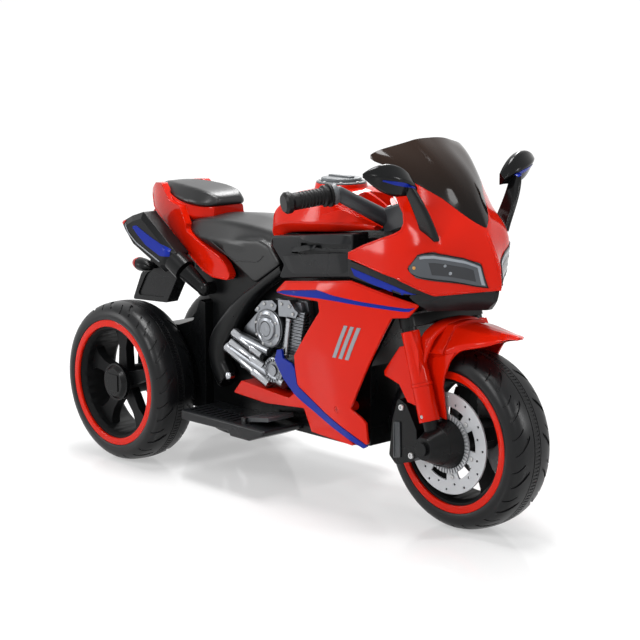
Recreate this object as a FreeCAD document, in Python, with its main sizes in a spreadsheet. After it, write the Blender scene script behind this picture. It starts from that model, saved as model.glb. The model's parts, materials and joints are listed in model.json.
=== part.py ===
import FreeCAD, Part
import math
import os
import Sketcher

# Battery ride-on motorbike for a child: one steered front wheel and two driven rear wheels.
# Millimetres. X points forward, Y to the rider's left, Z up; the tyres stand on Z = 0.

doc = FreeCAD.newDocument("ride_on_motorbike")
sheet = doc.addObject("Spreadsheet::Sheet", "dimensions")

DIMENSIONS = [
    ("wheelbase", 710, "rear axle to front axle"),
    ("tyre_radius", 145, "outer radius of each tyre"),
    ("tyre_width", 90, "width over the sidewalls"),
    ("bead_radius", 104, "where the tyre sits on the rim"),
    ("trim_ring_height", 10.5, "radial height of the coloured ring on a sidewall"),
    ("trim_ring_depth", 5, "how deep the ring is let into the sidewall"),
    ("rim_wall", 6, "thickness of the rim barrel"),
    ("hub_radius", 26, "radius of a wheel hub"),
    ("spoke_width", 26, "width of a spoke at the hub"),
    ("spoke_depth", 18, "thickness of a spoke along the axle"),
    ("hub_cap_radius", 34, "radius of the cap on a rear hub"),
    ("hub_cap_depth", 12, "how far the cap stands proud of the hub"),
    ("rear_half_track", 130, "middle of the bike to the middle of a rear wheel"),
    ("axle_radius", 6, "radius of both axles"),
    ("running_fit", 0.06, "radial play of a turning bore"),
    ("fit_gap", 0.3, "play between pieces that are screwed or clipped together"),
    ("rake_angle", 18, "steering axis from the vertical, degrees"),
    ("fork_half_track", 76, "middle of the bike to the middle of a fork leg"),
    ("fork_leg_radius", 12, "radius of a fork leg"),
    ("fork_cover_radius", 17, "outer radius of a fork cover at its foot"),
    ("crown_foot", 190, "axle to the underside of the fork crown, along the steering axis"),
    ("crown_depth", 18, "thickness of the fork crown"),
    ("crown_half_length", 15, "half the crown's size fore and aft"),
    ("head_gap", 4, "crown to the underside of the steering head"),
    ("head_height", 126, "length of the steering head"),
    ("stem_radius", 11, "radius of the steering stem"),
    ("bush_wall", 5, "wall of a steering bush"),
    ("bush_length", 24, "length of a steering bush"),
    ("clamp_height", 36, "height of the handlebar clamp"),
    ("disc_radius", 82, "outer radius of a brake disc"),
    ("disc_band", 22, "width of a disc's rubbing band"),
    ("disc_depth", 3, "thickness of a brake disc"),
    ("hub_cover_radius", 40, "radius of the cover at a fork foot"),
    ("hub_cover_length", 52, "length of that cover along the axle"),
    ("body_half_width", 60, "half the width of the inner body"),
    ("body_wall", 4, "wall of the inner body"),
    ("panel_wall", 3, "wall of the nose, the screen and the mudguard"),
    ("fairing_half_width", 112, "half the width over the side fairings"),
    ("fairing_bulge", 900, "radius of the bulge of a side fairing"),
    ("fairing_wall", 4, "wall of a side fairing"),
    ("cover_half_width", 96, "half the width over the black side covers"),
    ("engine_half_width", 94, "half the width over the dummy engines"),
    ("seat_half_width", 80, "half the width of the seat"),
    ("tank_half_width", 86, "half the width of the tank"),
    ("tail_half_width", 80, "half the width over the tail's front tips"),
    ("tail_frame_half_width", 36, "half the width of the frame under the tail"),
    ("hanger_half_width", 13, "half the width of the plate hanger under the tail"),
    ("exhaust_width", 36, "width of a silencer"),
    ("footrest_half_width", 150, "half the width over the footrests"),
    ("footrest_top", 121, "height of the footrests' tread on the drawing"),
    ("pedal_length", 62, "length of the accelerator pedal"),
    ("pedal_width", 58, "width of the accelerator pedal"),
    ("pedal_depth", 7, "thickness of the accelerator pedal"),
    ("bar_radius", 9.5, "radius of the handlebar under a grip"),
    ("bar_arm_radius", 12, "radius of the handlebar's inner arms"),
    ("grip_radius", 14, "radius of a grip"),
    ("grip_length", 84, "length of a grip"),
    ("grip_flange_radius", 19, "radius of a grip's inner flange"),
    ("cap_radius", 34, "radius of the tank cap"),
    ("cap_height", 9, "height of the tank cap"),
    ("button_radius", 7, "radius of a dash button"),
    ("button_travel", 2, "travel of a dash button"),
    ("battery_length", 151, "length of the sealed battery"),
    ("battery_width", 65, "width of the sealed battery"),
    ("battery_height", 94, "height of the sealed battery"),
    ("housing_half_width", 78, "half the width of the rear axle housing"),
    ("gearbox_depth", 30, "size of a gearbox along the axle"),
    ("motor_radius", 17, "radius of a drive motor"),
    ("motor_length", 34, "length of a drive motor"),
    ("screw_radius", 2, "radius of a body screw"),
    ("screw_head_radius", 5, "radius of a body screw's head"),
]
for row, (alias, value, note) in enumerate(DIMENSIONS, 1):
    sheet.set(f"A{row}", alias)
    sheet.set(f"B{row}", str(value))
    sheet.setAlias(f"B{row}", alias)
    sheet.set(f"C{row}", note)
doc.recompute()


class Size:
    """A length from the sheet, or one worked out from such lengths, with its expression."""

    def __init__(self, value, expression):
        self.value = float(value)
        self.expression = expression

    def __float__(self):
        return self.value

    def __add__(self, other):
        return Size(self.value + float(other), f"({self.expression} + {text(other)})")

    def __sub__(self, other):
        return Size(self.value - float(other), f"({self.expression} - {text(other)})")

    def __mul__(self, other):
        return Size(self.value * float(other), f"({self.expression} * {text(other)})")

    def __neg__(self):
        return Size(-self.value, f"(0 - {self.expression})")


def text(length):
    return length.expression if isinstance(length, Size) else str(float(length))


def plain(value):
    return Size(value, str(float(value)))


size = {alias: Size(sheet.get(alias), f"dimensions.{alias}") for alias, value, note in DIMENSIONS}
parts = []


def vec(x, y, z):
    return FreeCAD.Vector(float(x), float(y), float(z))


def keep(label, shape):
    """Adds a finished shape to the document as the sub-part of that name."""
    feature = doc.addObject("Part::Feature", label)
    feature.Label = label
    feature.Shape = shape
    parts.append(feature)
    return shape


def one_solid(shape):
    """The solid of a boolean's result, without the compound round it."""
    return shape.Solids[0] if len(shape.Solids) == 1 else shape


def mirrored(shape):
    return shape.mirror(vec(0, 0, 0), vec(0, 1, 0))


def keep_pair(stem, right):
    """Keeps a right-hand shape and its mirror image as two sub-parts."""
    keep(f"{stem}_right", right)
    keep(f"{stem}_left", mirrored(right))


def keep_both(label, right):
    """Keeps a right-hand shape and its mirror image as one sub-part of two solids."""
    keep(label, Part.makeCompound([right, mirrored(right)]))


def largest(shape):
    """The main solid of a boolean's result, without any offcut."""
    return max(shape.Solids, key=lambda solid: solid.Volume)


# The outlines below were drawn at these two sizes. A longer wheelbase stretches the body
# between the two stations, so that each end keeps its place beside its own axle.
DRAWN_WHEELBASE = 710.0
DRAWN_AXLE_HEIGHT = 145.0
STRETCH_REAR = -200.0
STRETCH_FRONT = 180.0

front_axle_x = size["wheelbase"] * 0.5
rear_axle_x = size["wheelbase"] * -0.5
axle_z = size["tyre_radius"]
half_body = float(size["body_half_width"])
gap = float(size["fit_gap"])
wall = float(size["panel_wall"])


def station(x):
    """Place along the body of a point drawn at x."""
    shift = float(front_axle_x) - DRAWN_WHEELBASE / 2
    share = (x - STRETCH_REAR) / (STRETCH_FRONT - STRETCH_REAR)
    return x + shift * (2 * min(max(share, 0), 1) - 1)


def level(z):
    """Height of a point drawn at z."""
    return z + float(axle_z) - DRAWN_AXLE_HEIGHT


def rounded(corners, radius):
    """Closed wire through 3-D corners of one plane, each corner rounded to the radius."""
    ends = []
    count = len(corners)
    for index, corner in enumerate(corners):
        back = corners[index - 1] - corner
        ahead = corners[(index + 1) % count] - corner
        half_angle = back.getAngle(ahead) / 2
        reach = min(radius / math.tan(half_angle), 0.45 * back.Length, 0.45 * ahead.Length)
        first = corner + back.normalize() * reach
        last = corner + ahead.normalize() * reach
        true_radius = reach * math.tan(half_angle)
        inward = (back + ahead).normalize() * (true_radius / math.sin(half_angle) - true_radius)
        ends.append((first, corner + inward, last))
    edges = []
    for index, (first, middle, last) in enumerate(ends):
        edges.append(Part.Edge(Part.Arc(first, middle, last)))
        edges.append(Part.Edge(Part.LineSegment(last, ends[(index + 1) % count][0])))
    return Part.Wire(edges)


def outline(points, y, radius):
    corners = [vec(station(x), y, level(z)) for x, z in points]
    return rounded(corners, radius) if radius > 0 else Part.makePolygon(corners + corners[:1])


def prism(points, y_from, y_to, radius=0.0, grow=0.0):
    """Side-view outline, drawn in (x, z) and grown all round, pulled from one Y to another."""
    face = Part.Face(outline(points, y_from, radius))
    if grow:
        face = face.makeOffset2D(grow)
    return face.extrude(vec(0, float(y_to) - float(y_from), 0))


def rod(start, end, radius):
    """Cylinder between two points."""
    return Part.makeCylinder(float(radius), (end - start).Length, start, end - start)


def taper(start, end, start_radius, end_radius):
    return Part.makeCone(float(start_radius), float(end_radius), (end - start).Length, start, end - start)


def half_section(x, half, radius):
    """Closed wire across the bike from the right half's (y, z) corners, foot first."""
    right = [vec(station(x), -y, level(z)) for y, z in half]
    left = [vec(station(x), y, level(z)) for y, z in reversed(half) if y > 0]
    return rounded(right + left, radius)


def skin(sections, radius):
    """Solid through cross-sections given as (x, half) pairs."""
    return Part.makeLoft([half_section(x, half, radius) for x, half in sections], True, False)


def edges_where(shape, test):
    """Edges whose two ends, or whose middle if closed, all pass the test."""
    return [edge for edge in shape.Edges if all(test(vertex.Point) for vertex in edge.Vertexes)]


def soften_outer(shape, y, radius):
    """Rounds the edges of a prism's face at that Y."""
    return shape.makeFillet(radius, edges_where(shape, lambda point: abs(point.y - y) < 0.01))


# Bodies built from sketches. Each corner of a sketch is held by two cell expressions.
def new_body(label, x, y, z):
    body = doc.addObject("PartDesign::Body", label)
    body.Label = label
    body.Placement = FreeCAD.Placement(vec(x, y, z), FreeCAD.Rotation())
    for axis, length in (("x", x), ("y", y), ("z", z)):
        body.setExpression(f"Placement.Base.{axis}", text(length))
    parts.append(body)
    return body


def new_sketch(body, name, plane):
    drawing = body.newObject("Sketcher::SketchObject", name)
    support = next(item for item in body.Origin.OriginFeatures if item.Role == plane)
    drawing.AttachmentSupport = [(support, "")]
    drawing.MapMode = "FlatFace"
    return drawing


def hold(drawing, kind, index, length):
    number = drawing.addConstraint(Sketcher.Constraint(kind, -1, 1, index, 1, float(length)))
    drawing.setExpression(f"Constraints[{number}]", text(length))


def bound_polygon(drawing, corners):
    start = drawing.GeometryCount
    count = len(corners)
    for index in range(count):
        across, up = corners[index]
        next_across, next_up = corners[(index + 1) % count]
        drawing.addGeometry(Part.LineSegment(vec(across, up, 0), vec(next_across, next_up, 0)), False)
    for index in range(count):
        joined = Sketcher.Constraint("Coincident", start + index, 2, start + (index + 1) % count, 1)
        drawing.addConstraint(joined)
    for index, (across, up) in enumerate(corners):
        hold(drawing, "DistanceX", start + index, across)
        hold(drawing, "DistanceY", start + index, up)


def turned(body, name, corners):
    """Revolution about the body's Y axis of corners given as (radius, y)."""
    drawing = new_sketch(body, f"{name}_profile", "XY_Plane")
    bound_polygon(drawing, corners)
    feature = body.newObject("PartDesign::Revolution", name)
    feature.Profile = drawing
    feature.ReferenceAxis = (drawing, ["V_Axis"])
    feature.Angle = 360
    return feature


def around_axle(body, name, feature, count):
    """Repeats a feature about the body's Y axis."""
    pattern = body.newObject("PartDesign::PolarPattern", name)
    pattern.Originals = [feature]
    pattern.Axis = (next(item for item in body.Origin.OriginFeatures if item.Role == "Y_Axis"), [""])
    pattern.Angle = 360
    pattern.Occurrences = count
    body.Tip = pattern
    return pattern


# Wheels: tyre, rim with five spokes, and the coloured rings let into the sidewalls.
half_tyre = size["tyre_width"] * 0.5
ring_radius = size["bead_radius"] + size["trim_ring_height"]
ring_face = half_tyre - 1.5
ring_floor = ring_face - size["trim_ring_depth"]
rim_half = ring_floor
rim_inner = size["bead_radius"] - size["rim_wall"]
hub_half_front = half_tyre + 1.0
HUB_INNER_REACH = 0.5


def tyre(label, x, y):
    """Round-shouldered tyre with a seat for the ring on each side."""
    body = new_body(label, x, y, axle_z)
    radius = size["tyre_radius"]
    right_side = [
        (size["bead_radius"], ring_floor),
        (ring_radius + gap, ring_floor),
        (ring_radius + gap, ring_face),
        (radius - 24, half_tyre),
        (radius - 16.5, half_tyre - 1.5),
        (radius - 10, half_tyre - 5),
        (radius - 5, half_tyre - 11.5),
        (radius - 2, half_tyre - 21),
        (radius - 0.4, half_tyre - 34),
    ]
    other_side = [(across, -up) for across, up in reversed(right_side)]
    turned(body, f"{label}_carcass", right_side + [(radius, plain(0))] + other_side)


def trim_ring(label, x, y, sides):
    """Coloured rings of one wheel, one solid on each named side."""
    depth = float(size["trim_ring_depth"])
    rings = []
    for side in sides:
        foot = vec(0, float(ring_floor) + gap, 0)
        ring = Part.makeCylinder(float(ring_radius), depth - gap, foot, vec(0, 1, 0))
        ring = ring.cut(Part.makeCylinder(float(size["bead_radius"]) - 2, depth, foot, vec(0, 1, 0)))
        lip = [edge for edge in ring.Edges if abs(edge.BoundBox.YMax - float(ring_face)) < 0.01]
        ring = ring.makeFillet(1.5, lip)
        if side < 0:
            ring = mirrored(ring)
        ring.translate(vec(x, y, axle_z))
        rings.append(ring)
    keep(label, rings[0] if len(rings) == 1 else Part.makeCompound(rings))


def rim(label, x, y, hub_out, hub_in, spoke_out):
    """Rim barrel, hub and five spokes that widen to the barrel."""
    body = new_body(label, x, y, axle_z)
    bore = size["axle_radius"] + size["running_fit"]
    bead = size["bead_radius"]
    barrel = [
        (rim_inner, -rim_half), (bead - 0.05, -rim_half), (bead - 0.05, rim_half), (rim_inner, rim_half),
        (rim_inner - 5, rim_half - 8), (rim_inner - 5, -rim_half + 8),
    ]
    turned(body, f"{label}_barrel", barrel)
    turned(body, f"{label}_hub", [
        (bore, hub_in), (size["hub_radius"], hub_in), (size["hub_radius"], hub_out), (bore, hub_out)])
    half_root = size["spoke_width"] * 0.5
    reach = rim_inner - 2
    drawing = new_sketch(body, f"{label}_spoke_outline", "XZ_Plane")
    bound_polygon(drawing, [
        (-half_root, size["hub_radius"] - 6), (half_root, size["hub_radius"] - 6),
        (half_root - 3, reach - 34), (half_root + 2, reach - 14), (half_root + 13, reach),
        (-half_root - 13, reach), (-half_root - 2, reach - 14), (-half_root + 3, reach - 34)])
    spoke = body.newObject("PartDesign::Pad", f"{label}_spoke")
    spoke.Profile = drawing
    spoke.Length = float(size["spoke_depth"])
    spoke.setExpression("Length", size["spoke_depth"].expression)
    drawing.AttachmentOffset = FreeCAD.Placement(vec(0, 0, spoke_out), FreeCAD.Rotation())
    spokes = around_axle(body, f"{label}_spokes", spoke, 5)
    return spokes


rear_y = size["rear_half_track"]
for side, sign in (("right", -1), ("left", 1)):
    wheel_y = rear_y * sign
    tyre(f"rear_{side}_tyre", rear_axle_x, wheel_y)
    outer_face = half_tyre - 16
    inner_face = half_tyre - HUB_INNER_REACH
    hub_out = outer_face if sign > 0 else inner_face
    hub_in = -inner_face if sign > 0 else -outer_face
    spoke_at = -18 if sign > 0 else 0
    rim(f"rear_{side}_rim", rear_axle_x, wheel_y, hub_out, hub_in, spoke_at)
    trim_ring(f"rear_{side}_trim_ring", rear_axle_x, wheel_y, [sign])

tyre("front_tyre", front_axle_x, plain(0))
rim("front_rim", front_axle_x, plain(0), hub_half_front, -hub_half_front, -9)
trim_ring("front_trim_rings", front_axle_x, plain(0), [-1, 1])


def hub_cap(label, sign):
    """Stepped cap that closes the outer end of a rear hub."""
    face = float(half_tyre) - 16 + gap
    radius = float(size["hub_cap_radius"])
    depth = float(size["hub_cap_depth"])
    dome = Part.makeCylinder(radius, depth * 0.5, vec(0, face, 0), vec(0, 1, 0))
    dome = dome.fuse(taper(vec(0, face + depth * 0.5, 0), vec(0, face + depth, 0), radius - 3, radius - 9))
    boss = Part.makeBox(30, depth * 0.45, 30, vec(-15, face + depth * 0.7, -15))
    cap = dome.fuse(boss).removeSplitter()
    well = Part.makeCylinder(float(size["axle_radius"]) + 3, depth * 0.6, vec(0, face - 0.01, 0), vec(0, 1, 0))
    cap = cap.cut(well)
    if sign < 0:
        cap = mirrored(cap)
    cap.translate(vec(rear_axle_x, float(rear_y) * sign, axle_z))
    keep(label, one_solid(cap))


hub_cap("rear_right_hub_cap", -1)
hub_cap("rear_left_hub_cap", 1)


def axle(label, x, half_length):
    pin = doc.addObject("Part::Cylinder", label)
    pin.Label = label
    pin.setExpression("Radius", size["axle_radius"].expression)
    pin.setExpression("Height", text(half_length * 2))
    pin.Placement = FreeCAD.Placement(
        vec(x, -float(half_length), axle_z), FreeCAD.Rotation(vec(1, 0, 0), -90))
    pin.setExpression("Placement.Base.x", text(x))
    pin.setExpression("Placement.Base.y", text(-half_length))
    pin.setExpression("Placement.Base.z", text(axle_z))
    parts.append(pin)


axle("rear_axle", rear_axle_x, rear_y + half_tyre - 13)

# Steering group, drawn upright with the axle at the origin and then leaned back by the rake.
half_fork = float(size["fork_half_track"])
leg_radius = float(size["fork_leg_radius"])
cover_radius = float(size["fork_cover_radius"])
crown_foot = float(size["crown_foot"])
crown_top = crown_foot + float(size["crown_depth"])
crown_half = float(size["crown_half_length"])
stem_radius = float(size["stem_radius"])
head_foot = crown_top + float(size["head_gap"])
head_top = head_foot + float(size["head_height"])
bush_radius = stem_radius + float(size["running_fit"]) + float(size["bush_wall"])
clamp_foot = head_top + 12
clamp_top = clamp_foot + float(size["clamp_height"])
leaned = FreeCAD.Placement(
    vec(front_axle_x, 0, axle_z), FreeCAD.Rotation(vec(0, 1, 0), -float(size["rake_angle"])))


def lean(shape):
    shape.Placement = leaned.multiply(shape.Placement)
    return shape


def lean_point(x, y, z):
    return leaned.multVec(vec(x, y, z))


axle("front_axle", front_axle_x, size["fork_half_track"] + 18)
disc_face = float(hub_half_front) + 0.1
disc_back = disc_face + float(size["disc_depth"])
cover_face = disc_back + 3.5
cover_end = cover_face + float(size["hub_cover_length"])
lug_radius = leg_radius + 5


def brake_disc():
    """Drilled disc with six windows round its hub."""
    outer = float(size["disc_radius"])
    inner = outer - float(size["disc_band"])
    depth = float(size["disc_depth"])
    disc = Part.makeCylinder(outer, depth, vec(0, disc_face, 0), vec(0, 1, 0))
    disc = disc.cut(Part.makeCylinder(float(size["axle_radius"]) + 6, depth * 3, vec(0, disc_face - depth, 0),
                                      vec(0, 1, 0)))
    window = Part.makeCylinder(inner, depth * 3, vec(0, disc_face - depth, 0), vec(0, 1, 0), 34)
    window = window.cut(Part.makeCylinder(inner - 14, depth * 4, vec(0, disc_face - depth * 1.5, 0), vec(0, 1, 0)))
    cutters = []
    for number in range(6):
        turn = window.copy()
        turn.rotate(vec(0, 0, 0), vec(0, 1, 0), 60 * number)
        cutters.append(turn)
    for number in range(24):
        angle = math.radians(15 * number)
        reach = inner + (6 if number % 2 else 15)
        foot = vec(reach * math.cos(angle), disc_face - depth, reach * math.sin(angle))
        cutters.append(Part.makeCylinder(2, depth * 3, foot, vec(0, 1, 0)))
    disc = one_solid(disc.cut(Part.makeCompound(cutters)))
    disc.translate(vec(front_axle_x, 0, axle_z))
    return mirrored(disc)


keep_both("brake_discs", brake_disc())


def fork_leg_solid(sign, extra):
    """One leg with its lug round the axle, grown by the extra radius."""
    foot = vec(0, half_fork * sign, 0)
    leg = rod(foot, vec(0, half_fork * sign, crown_foot + 6), leg_radius + extra)
    lug_half = leg_radius + 2 + extra
    lug = rod(foot - vec(0, lug_half, 0), foot + vec(0, lug_half, 0), lug_radius + extra)
    return leg.fuse(lug)


crown = Part.makeBox(2 * crown_half, 2 * (half_fork + leg_radius), crown_top - crown_foot,
                     vec(-crown_half, -half_fork - leg_radius, crown_foot))
crown = crown.makeFillet(crown_half * 0.8, [edge for edge in crown.Edges if edge.BoundBox.ZLength > 1])
fork = crown.fuse([fork_leg_solid(-1, 0), fork_leg_solid(1, 0)])
axle_bore = rod(vec(0, -200, 0), vec(0, 200, 0), float(size["axle_radius"]) + float(size["running_fit"]))
fork = fork.cut(axle_bore)
keep("fork", lean(one_solid(fork.removeSplitter())))

stem = rod(vec(0, 0, crown_top), vec(0, 0, clamp_foot), stem_radius)
keep("steering_stem", lean(stem))
bushes = []
for foot in (head_foot, head_top - float(size["bush_length"])):
    bush = rod(vec(0, 0, foot), vec(0, 0, foot + float(size["bush_length"])), bush_radius)
    bore = rod(vec(0, 0, foot - 1), vec(0, 0, foot + float(size["bush_length"]) + 1),
               stem_radius + float(size["running_fit"]))
    bushes.append(lean(bush.cut(bore)))
keep("steering_bushes", Part.makeCompound(bushes))

hub_shell = taper(vec(0, cover_face, 0), vec(0, cover_face + 22, 0), size["hub_cover_radius"],
                  float(size["hub_cover_radius"]) - 8)
hub_shell = hub_shell.fuse(taper(vec(0, cover_face + 22, 0), vec(0, cover_end, 0),
                                 float(size["hub_cover_radius"]) - 9, float(size["hub_cover_radius"]) - 22))
hub_shell = hub_shell.fuse(rod(vec(0, cover_end, 0), vec(0, cover_end + 5, 0), 11))
hub_hollow = taper(vec(0, cover_face - 0.1, 0), vec(0, cover_end - 6, 0), float(size["hub_cover_radius"]) - 5,
                   float(size["hub_cover_radius"]) - 21)
left_leg = fork_leg_solid(1, gap)
hub_cover = one_solid(hub_shell.removeSplitter().cut(hub_hollow).cut(left_leg))
keep("hub_covers", Part.makeCompound([lean(hub_cover.copy()), lean(mirrored(hub_cover))]))

# Red fork cover: a tapered sleeve with a seam collar, two braces and a fin behind it.
COVER_FOOT = 40.0
COVER_DRAWN = 184.0
cover_top = crown_foot - 6


def cover_level(z):
    """Height on the fork cover of a point drawn at z, between its fixed foot and the crown."""
    return COVER_FOOT + (z - COVER_FOOT) * (cover_top - COVER_FOOT) / (COVER_DRAWN - COVER_FOOT)


def fork_cover():
    middle = half_fork
    sleeve = taper(vec(0, middle, COVER_FOOT), vec(0, middle, cover_top), cover_radius, cover_radius - 2.5)
    seam = cover_level(96)
    collar = rod(vec(0, middle, seam), vec(0, middle, seam + 5), cover_radius + 0.5)
    fin_points = [(-8, 62), (-36, 76), (-46, 106), (-74, 125), (-73, 133), (-28, 164), (-4, 164)]
    fin_corners = [vec(x, middle - 4, cover_level(z)) for x, z in fin_points]
    fin = Part.Face(Part.makePolygon(fin_corners + fin_corners[:1]))
    fin = fin.extrude(vec(0, 9, 0))
    fin = fin.makeFillet(2.5, [edge for edge in fin.Edges if abs(edge.BoundBox.YLength) < 0.01
                               and edge.BoundBox.XMax < -5])
    rib_points = [(8, 100), (20, 150), (14, 183), (6, 183), (10, 150), (4, 110)]
    rib_corners = [vec(x, middle + 2, cover_level(z)) for x, z in rib_points]
    rib = Part.Face(Part.makePolygon(rib_corners + rib_corners[:1]))
    rib = rib.extrude(vec(0, 10, 0))
    solid = sleeve.fuse([collar, fin, rib])
    solid = solid.cut(fork_leg_solid(1, gap))
    screw_well = rod(vec(0, middle + cover_radius - 3, COVER_FOOT + 9),
                     vec(0, middle + cover_radius + 5, COVER_FOOT + 9), 3.4)
    return one_solid(solid.cut(screw_well).removeSplitter())


cover = fork_cover()
keep("fork_covers", Part.makeCompound([lean(cover.copy()), lean(mirrored(cover))]))

# Mudguard: a beaked arch over the tyre with a pointed leg on each side.
guard_half = half_fork - cover_radius - gap


def guard_section(x, foot, shoulder, top, half, inset):
    half = max(half - inset, 0.8)
    top = top - inset
    across = [(half, foot), (half * 0.97, shoulder), (half * 0.55, top - 3.5), (half * 0.12, top)]
    right = [vec(front_axle_x, 0, axle_z) + vec(x, -y, z) for y, z in across]
    left = [vec(front_axle_x, 0, axle_z) + vec(x, y, z) for y, z in reversed(across)]
    return rounded(right + left, 6)


GUARD_STATIONS = [
    (-66, 112, 138, 170, 1.00), (-36, 116, 146, 182, 1.00), (0, 120, 150, 187, 1.00), (22, 146, 160, 187, 0.97),
    (48, 158, 167, 184, 0.86), (80, 168, 173, 181, 0.58), (104, 174, 176, 178, 0.14)]
STRAP_STATIONS = GUARD_STATIONS[:3]
STRAP_RISE = 4.0
guard_outer = Part.makeLoft(
    [guard_section(x, foot, shoulder, top, guard_half * share, 0)
     for x, foot, shoulder, top, share in GUARD_STATIONS], True, False)
guard_inner = Part.makeLoft(
    [guard_section(x, foot - 12, shoulder - 2, top, guard_half * share, wall)
     for x, foot, shoulder, top, share in GUARD_STATIONS], True, False)
guard_inner.translate(vec(-0.5, 0, 0))
strap = Part.makeLoft(
    [guard_section(x, shoulder - 6, shoulder, top, guard_half, -STRAP_RISE if x > -60 else -STRAP_RISE / 2)
     for x, foot, shoulder, top, share in STRAP_STATIONS], True, False)
guard = guard_outer.fuse(strap).cut(guard_inner)
leg_points = [
    (-44, 128), (-41, 109), (-34, 82), (-20, 44), (6, 41), (-2, 92), (1, 110), (12, 134), (22, 150)]
for sign in (-1, 1):
    plate = Part.Face(Part.makePolygon(
        [vec(front_axle_x, 0, axle_z) + vec(x, sign * (guard_half - wall), z)
         for x, z in leg_points + leg_points[:1]]))
    guard = guard.fuse(plate.extrude(vec(0, sign * wall, 0)))
crown_room = lean(Part.makeBox(2 * (crown_half + gap), 400, crown_top - crown_foot + 60,
                               vec(-crown_half - gap, -200, crown_foot - gap)))
guard = guard.cut(crown_room)
for sign in (-1, 1):
    guard = guard.cut(lean(rod(vec(0, half_fork * sign, COVER_FOOT), vec(0, half_fork * sign, 400),
                               cover_radius + 0.5 + gap)))
guard = largest(guard)
keep("front_mudguard", guard)

# Brake calipers, clipped to the hub covers behind the discs.
caliper_points = [(-54, 86), (-39, 72), (-29, 30), (-40, -12), (-55, -18), (-92, -17), (-102, 0), (-77, 54)]
caliper = Part.Face(rounded([vec(x, cover_face + 2, z) for x, z in caliper_points], 5))
caliper = caliper.extrude(vec(0, 26, 0))
caliper = caliper.fuse(Part.makeBox(34, 12, 22, vec(-44, cover_face + 12, -4)))
caliper = caliper.cut(hub_shell).cut(fork_leg_solid(1, gap)).cut(cover)
caliper = largest(caliper)
calipers = [lean(caliper.copy()), lean(mirrored(caliper))]
keep("brake_calipers", Part.makeCompound(calipers))

# Handlebar: clamp on the stem, a cranked arm on each side, and the bar ends under the grips.
ROOT = vec(-42, -34, clamp_foot + 22)
ELBOW = vec(-63, -105, clamp_foot + 74)
arm_root = leaned.multVec(ROOT)
arm_elbow = leaned.multVec(ELBOW)
CLAMP_REAR = 48.0
CLAMP_HALF = 42.0
bar_way = vec(-0.33, -0.93, -0.12).normalize()
grip_foot = float(size["bar_arm_radius"]) + 1.5
grip_end = grip_foot + float(size["grip_length"]) - 6
bar_end = arm_elbow + bar_way * (grip_end - gap)
clamp = Part.makeBox(CLAMP_REAR + 18, 2 * CLAMP_HALF, float(size["clamp_height"]),
                     vec(-CLAMP_REAR, -CLAMP_HALF, clamp_foot))
clamp = clamp.makeFillet(7, [edge for edge in clamp.Edges if edge.BoundBox.ZLength > 1])
clamp = clamp.makeFillet(3, [edge for edge in clamp.Edges if edge.BoundBox.ZMin > clamp_top - 0.1])
clamp = lean(clamp)
right_bar = taper(arm_root, arm_elbow, float(size["bar_arm_radius"]) + 2, size["bar_arm_radius"])
right_bar = right_bar.fuse([
    Part.makeSphere(float(size["bar_arm_radius"]), arm_elbow), rod(arm_elbow, bar_end, size["bar_radius"])])
handlebar = clamp.fuse([right_bar, mirrored(right_bar)]).removeSplitter()
keep("handlebar", one_solid(handlebar))


def grip():
    """Ribbed rubber sleeve with a mushroom end and a double flange inside."""
    bore = float(size["bar_radius"]) + gap
    radius = float(size["grip_radius"])
    flange = float(size["grip_flange_radius"])
    length = float(size["grip_length"])
    foot = grip_foot
    end = grip_end
    profile = [(bore, foot), (flange, foot), (flange, foot + 4), (radius + 1, foot + 5.5), (radius + 1, foot + 9),
               (flange - 1.5, foot + 10), (flange - 1.5, foot + 13), (radius, foot + 15)]
    ribs = 7
    pitch = (length - 42) / ribs
    for number in range(ribs):
        start = foot + 18 + number * pitch
        profile += [(radius, start), (radius - 1.2, start + 1), (radius - 1.2, start + pitch * 0.45),
                    (radius, start + pitch * 0.45 + 1)]
    profile += [(radius, end - 12), (radius + 3.5, end - 7), (radius + 3.5, end), (radius, end + 4), (0, end + 4),
                (0, end), (bore, end)]
    wire = Part.makePolygon([vec(across, 0, along) for across, along in profile + profile[:1]])
    sleeve = Part.Face(wire).revolve(vec(0, 0, 0), vec(0, 0, 1), 360)
    sleeve.Placement = FreeCAD.Placement(arm_elbow, FreeCAD.Rotation(vec(0, 0, 1), bar_way))
    return sleeve


keep_both("grips", grip())

# Inner body: a hollow hull in two halves, with the steering head at its front.
def drawn(point):
    """Outline point that lies on a real place, taken back to drawing coordinates."""
    low, high = -2000.0, 2000.0
    for step in range(60):
        middle = (low + high) / 2
        low, high = (middle, high) if station(middle) < point.x else (low, middle)
    return (low, point.z - float(axle_z) + DRAWN_AXLE_HEIGHT)


HULL_REAR = -204.0
SEAT_PLANE = 386.0
TANK_REAR = -36.0
hull_points = [
    (195, 112), (195, 245), drawn(lean_point(-40, 0, head_foot)), drawn(lean_point(36, 0, head_foot)),
    drawn(lean_point(38, 0, head_foot + 30)), drawn(lean_point(30, 0, head_top)),
    drawn(lean_point(-30, 0, head_top)), (-8, 444), (TANK_REAR, 416), (TANK_REAR, SEAT_PLANE),
    (-250, SEAT_PLANE), (-250, 335), (HULL_REAR, 300), (HULL_REAR, 105), (150, 105)]
hull = prism(hull_points, -half_body, half_body)
inner_wall = float(size["body_wall"])
hull_face = Part.Face(outline(hull_points, -half_body + inner_wall, 0))
cavity = hull_face.makeOffset2D(-inner_wall, 2).extrude(vec(0, 2 * (half_body - inner_wall), 0))
head_tube = lean(rod(vec(0, 0, head_foot - 60), vec(0, 0, head_top + 60), bush_radius + 9))
cavity = cavity.cut(head_tube)
hull = hull.cut(cavity)
hull = hull.cut(lean(rod(vec(0, 0, head_foot - 60), vec(0, 0, head_top + 60), stem_radius + 1)))
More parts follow.
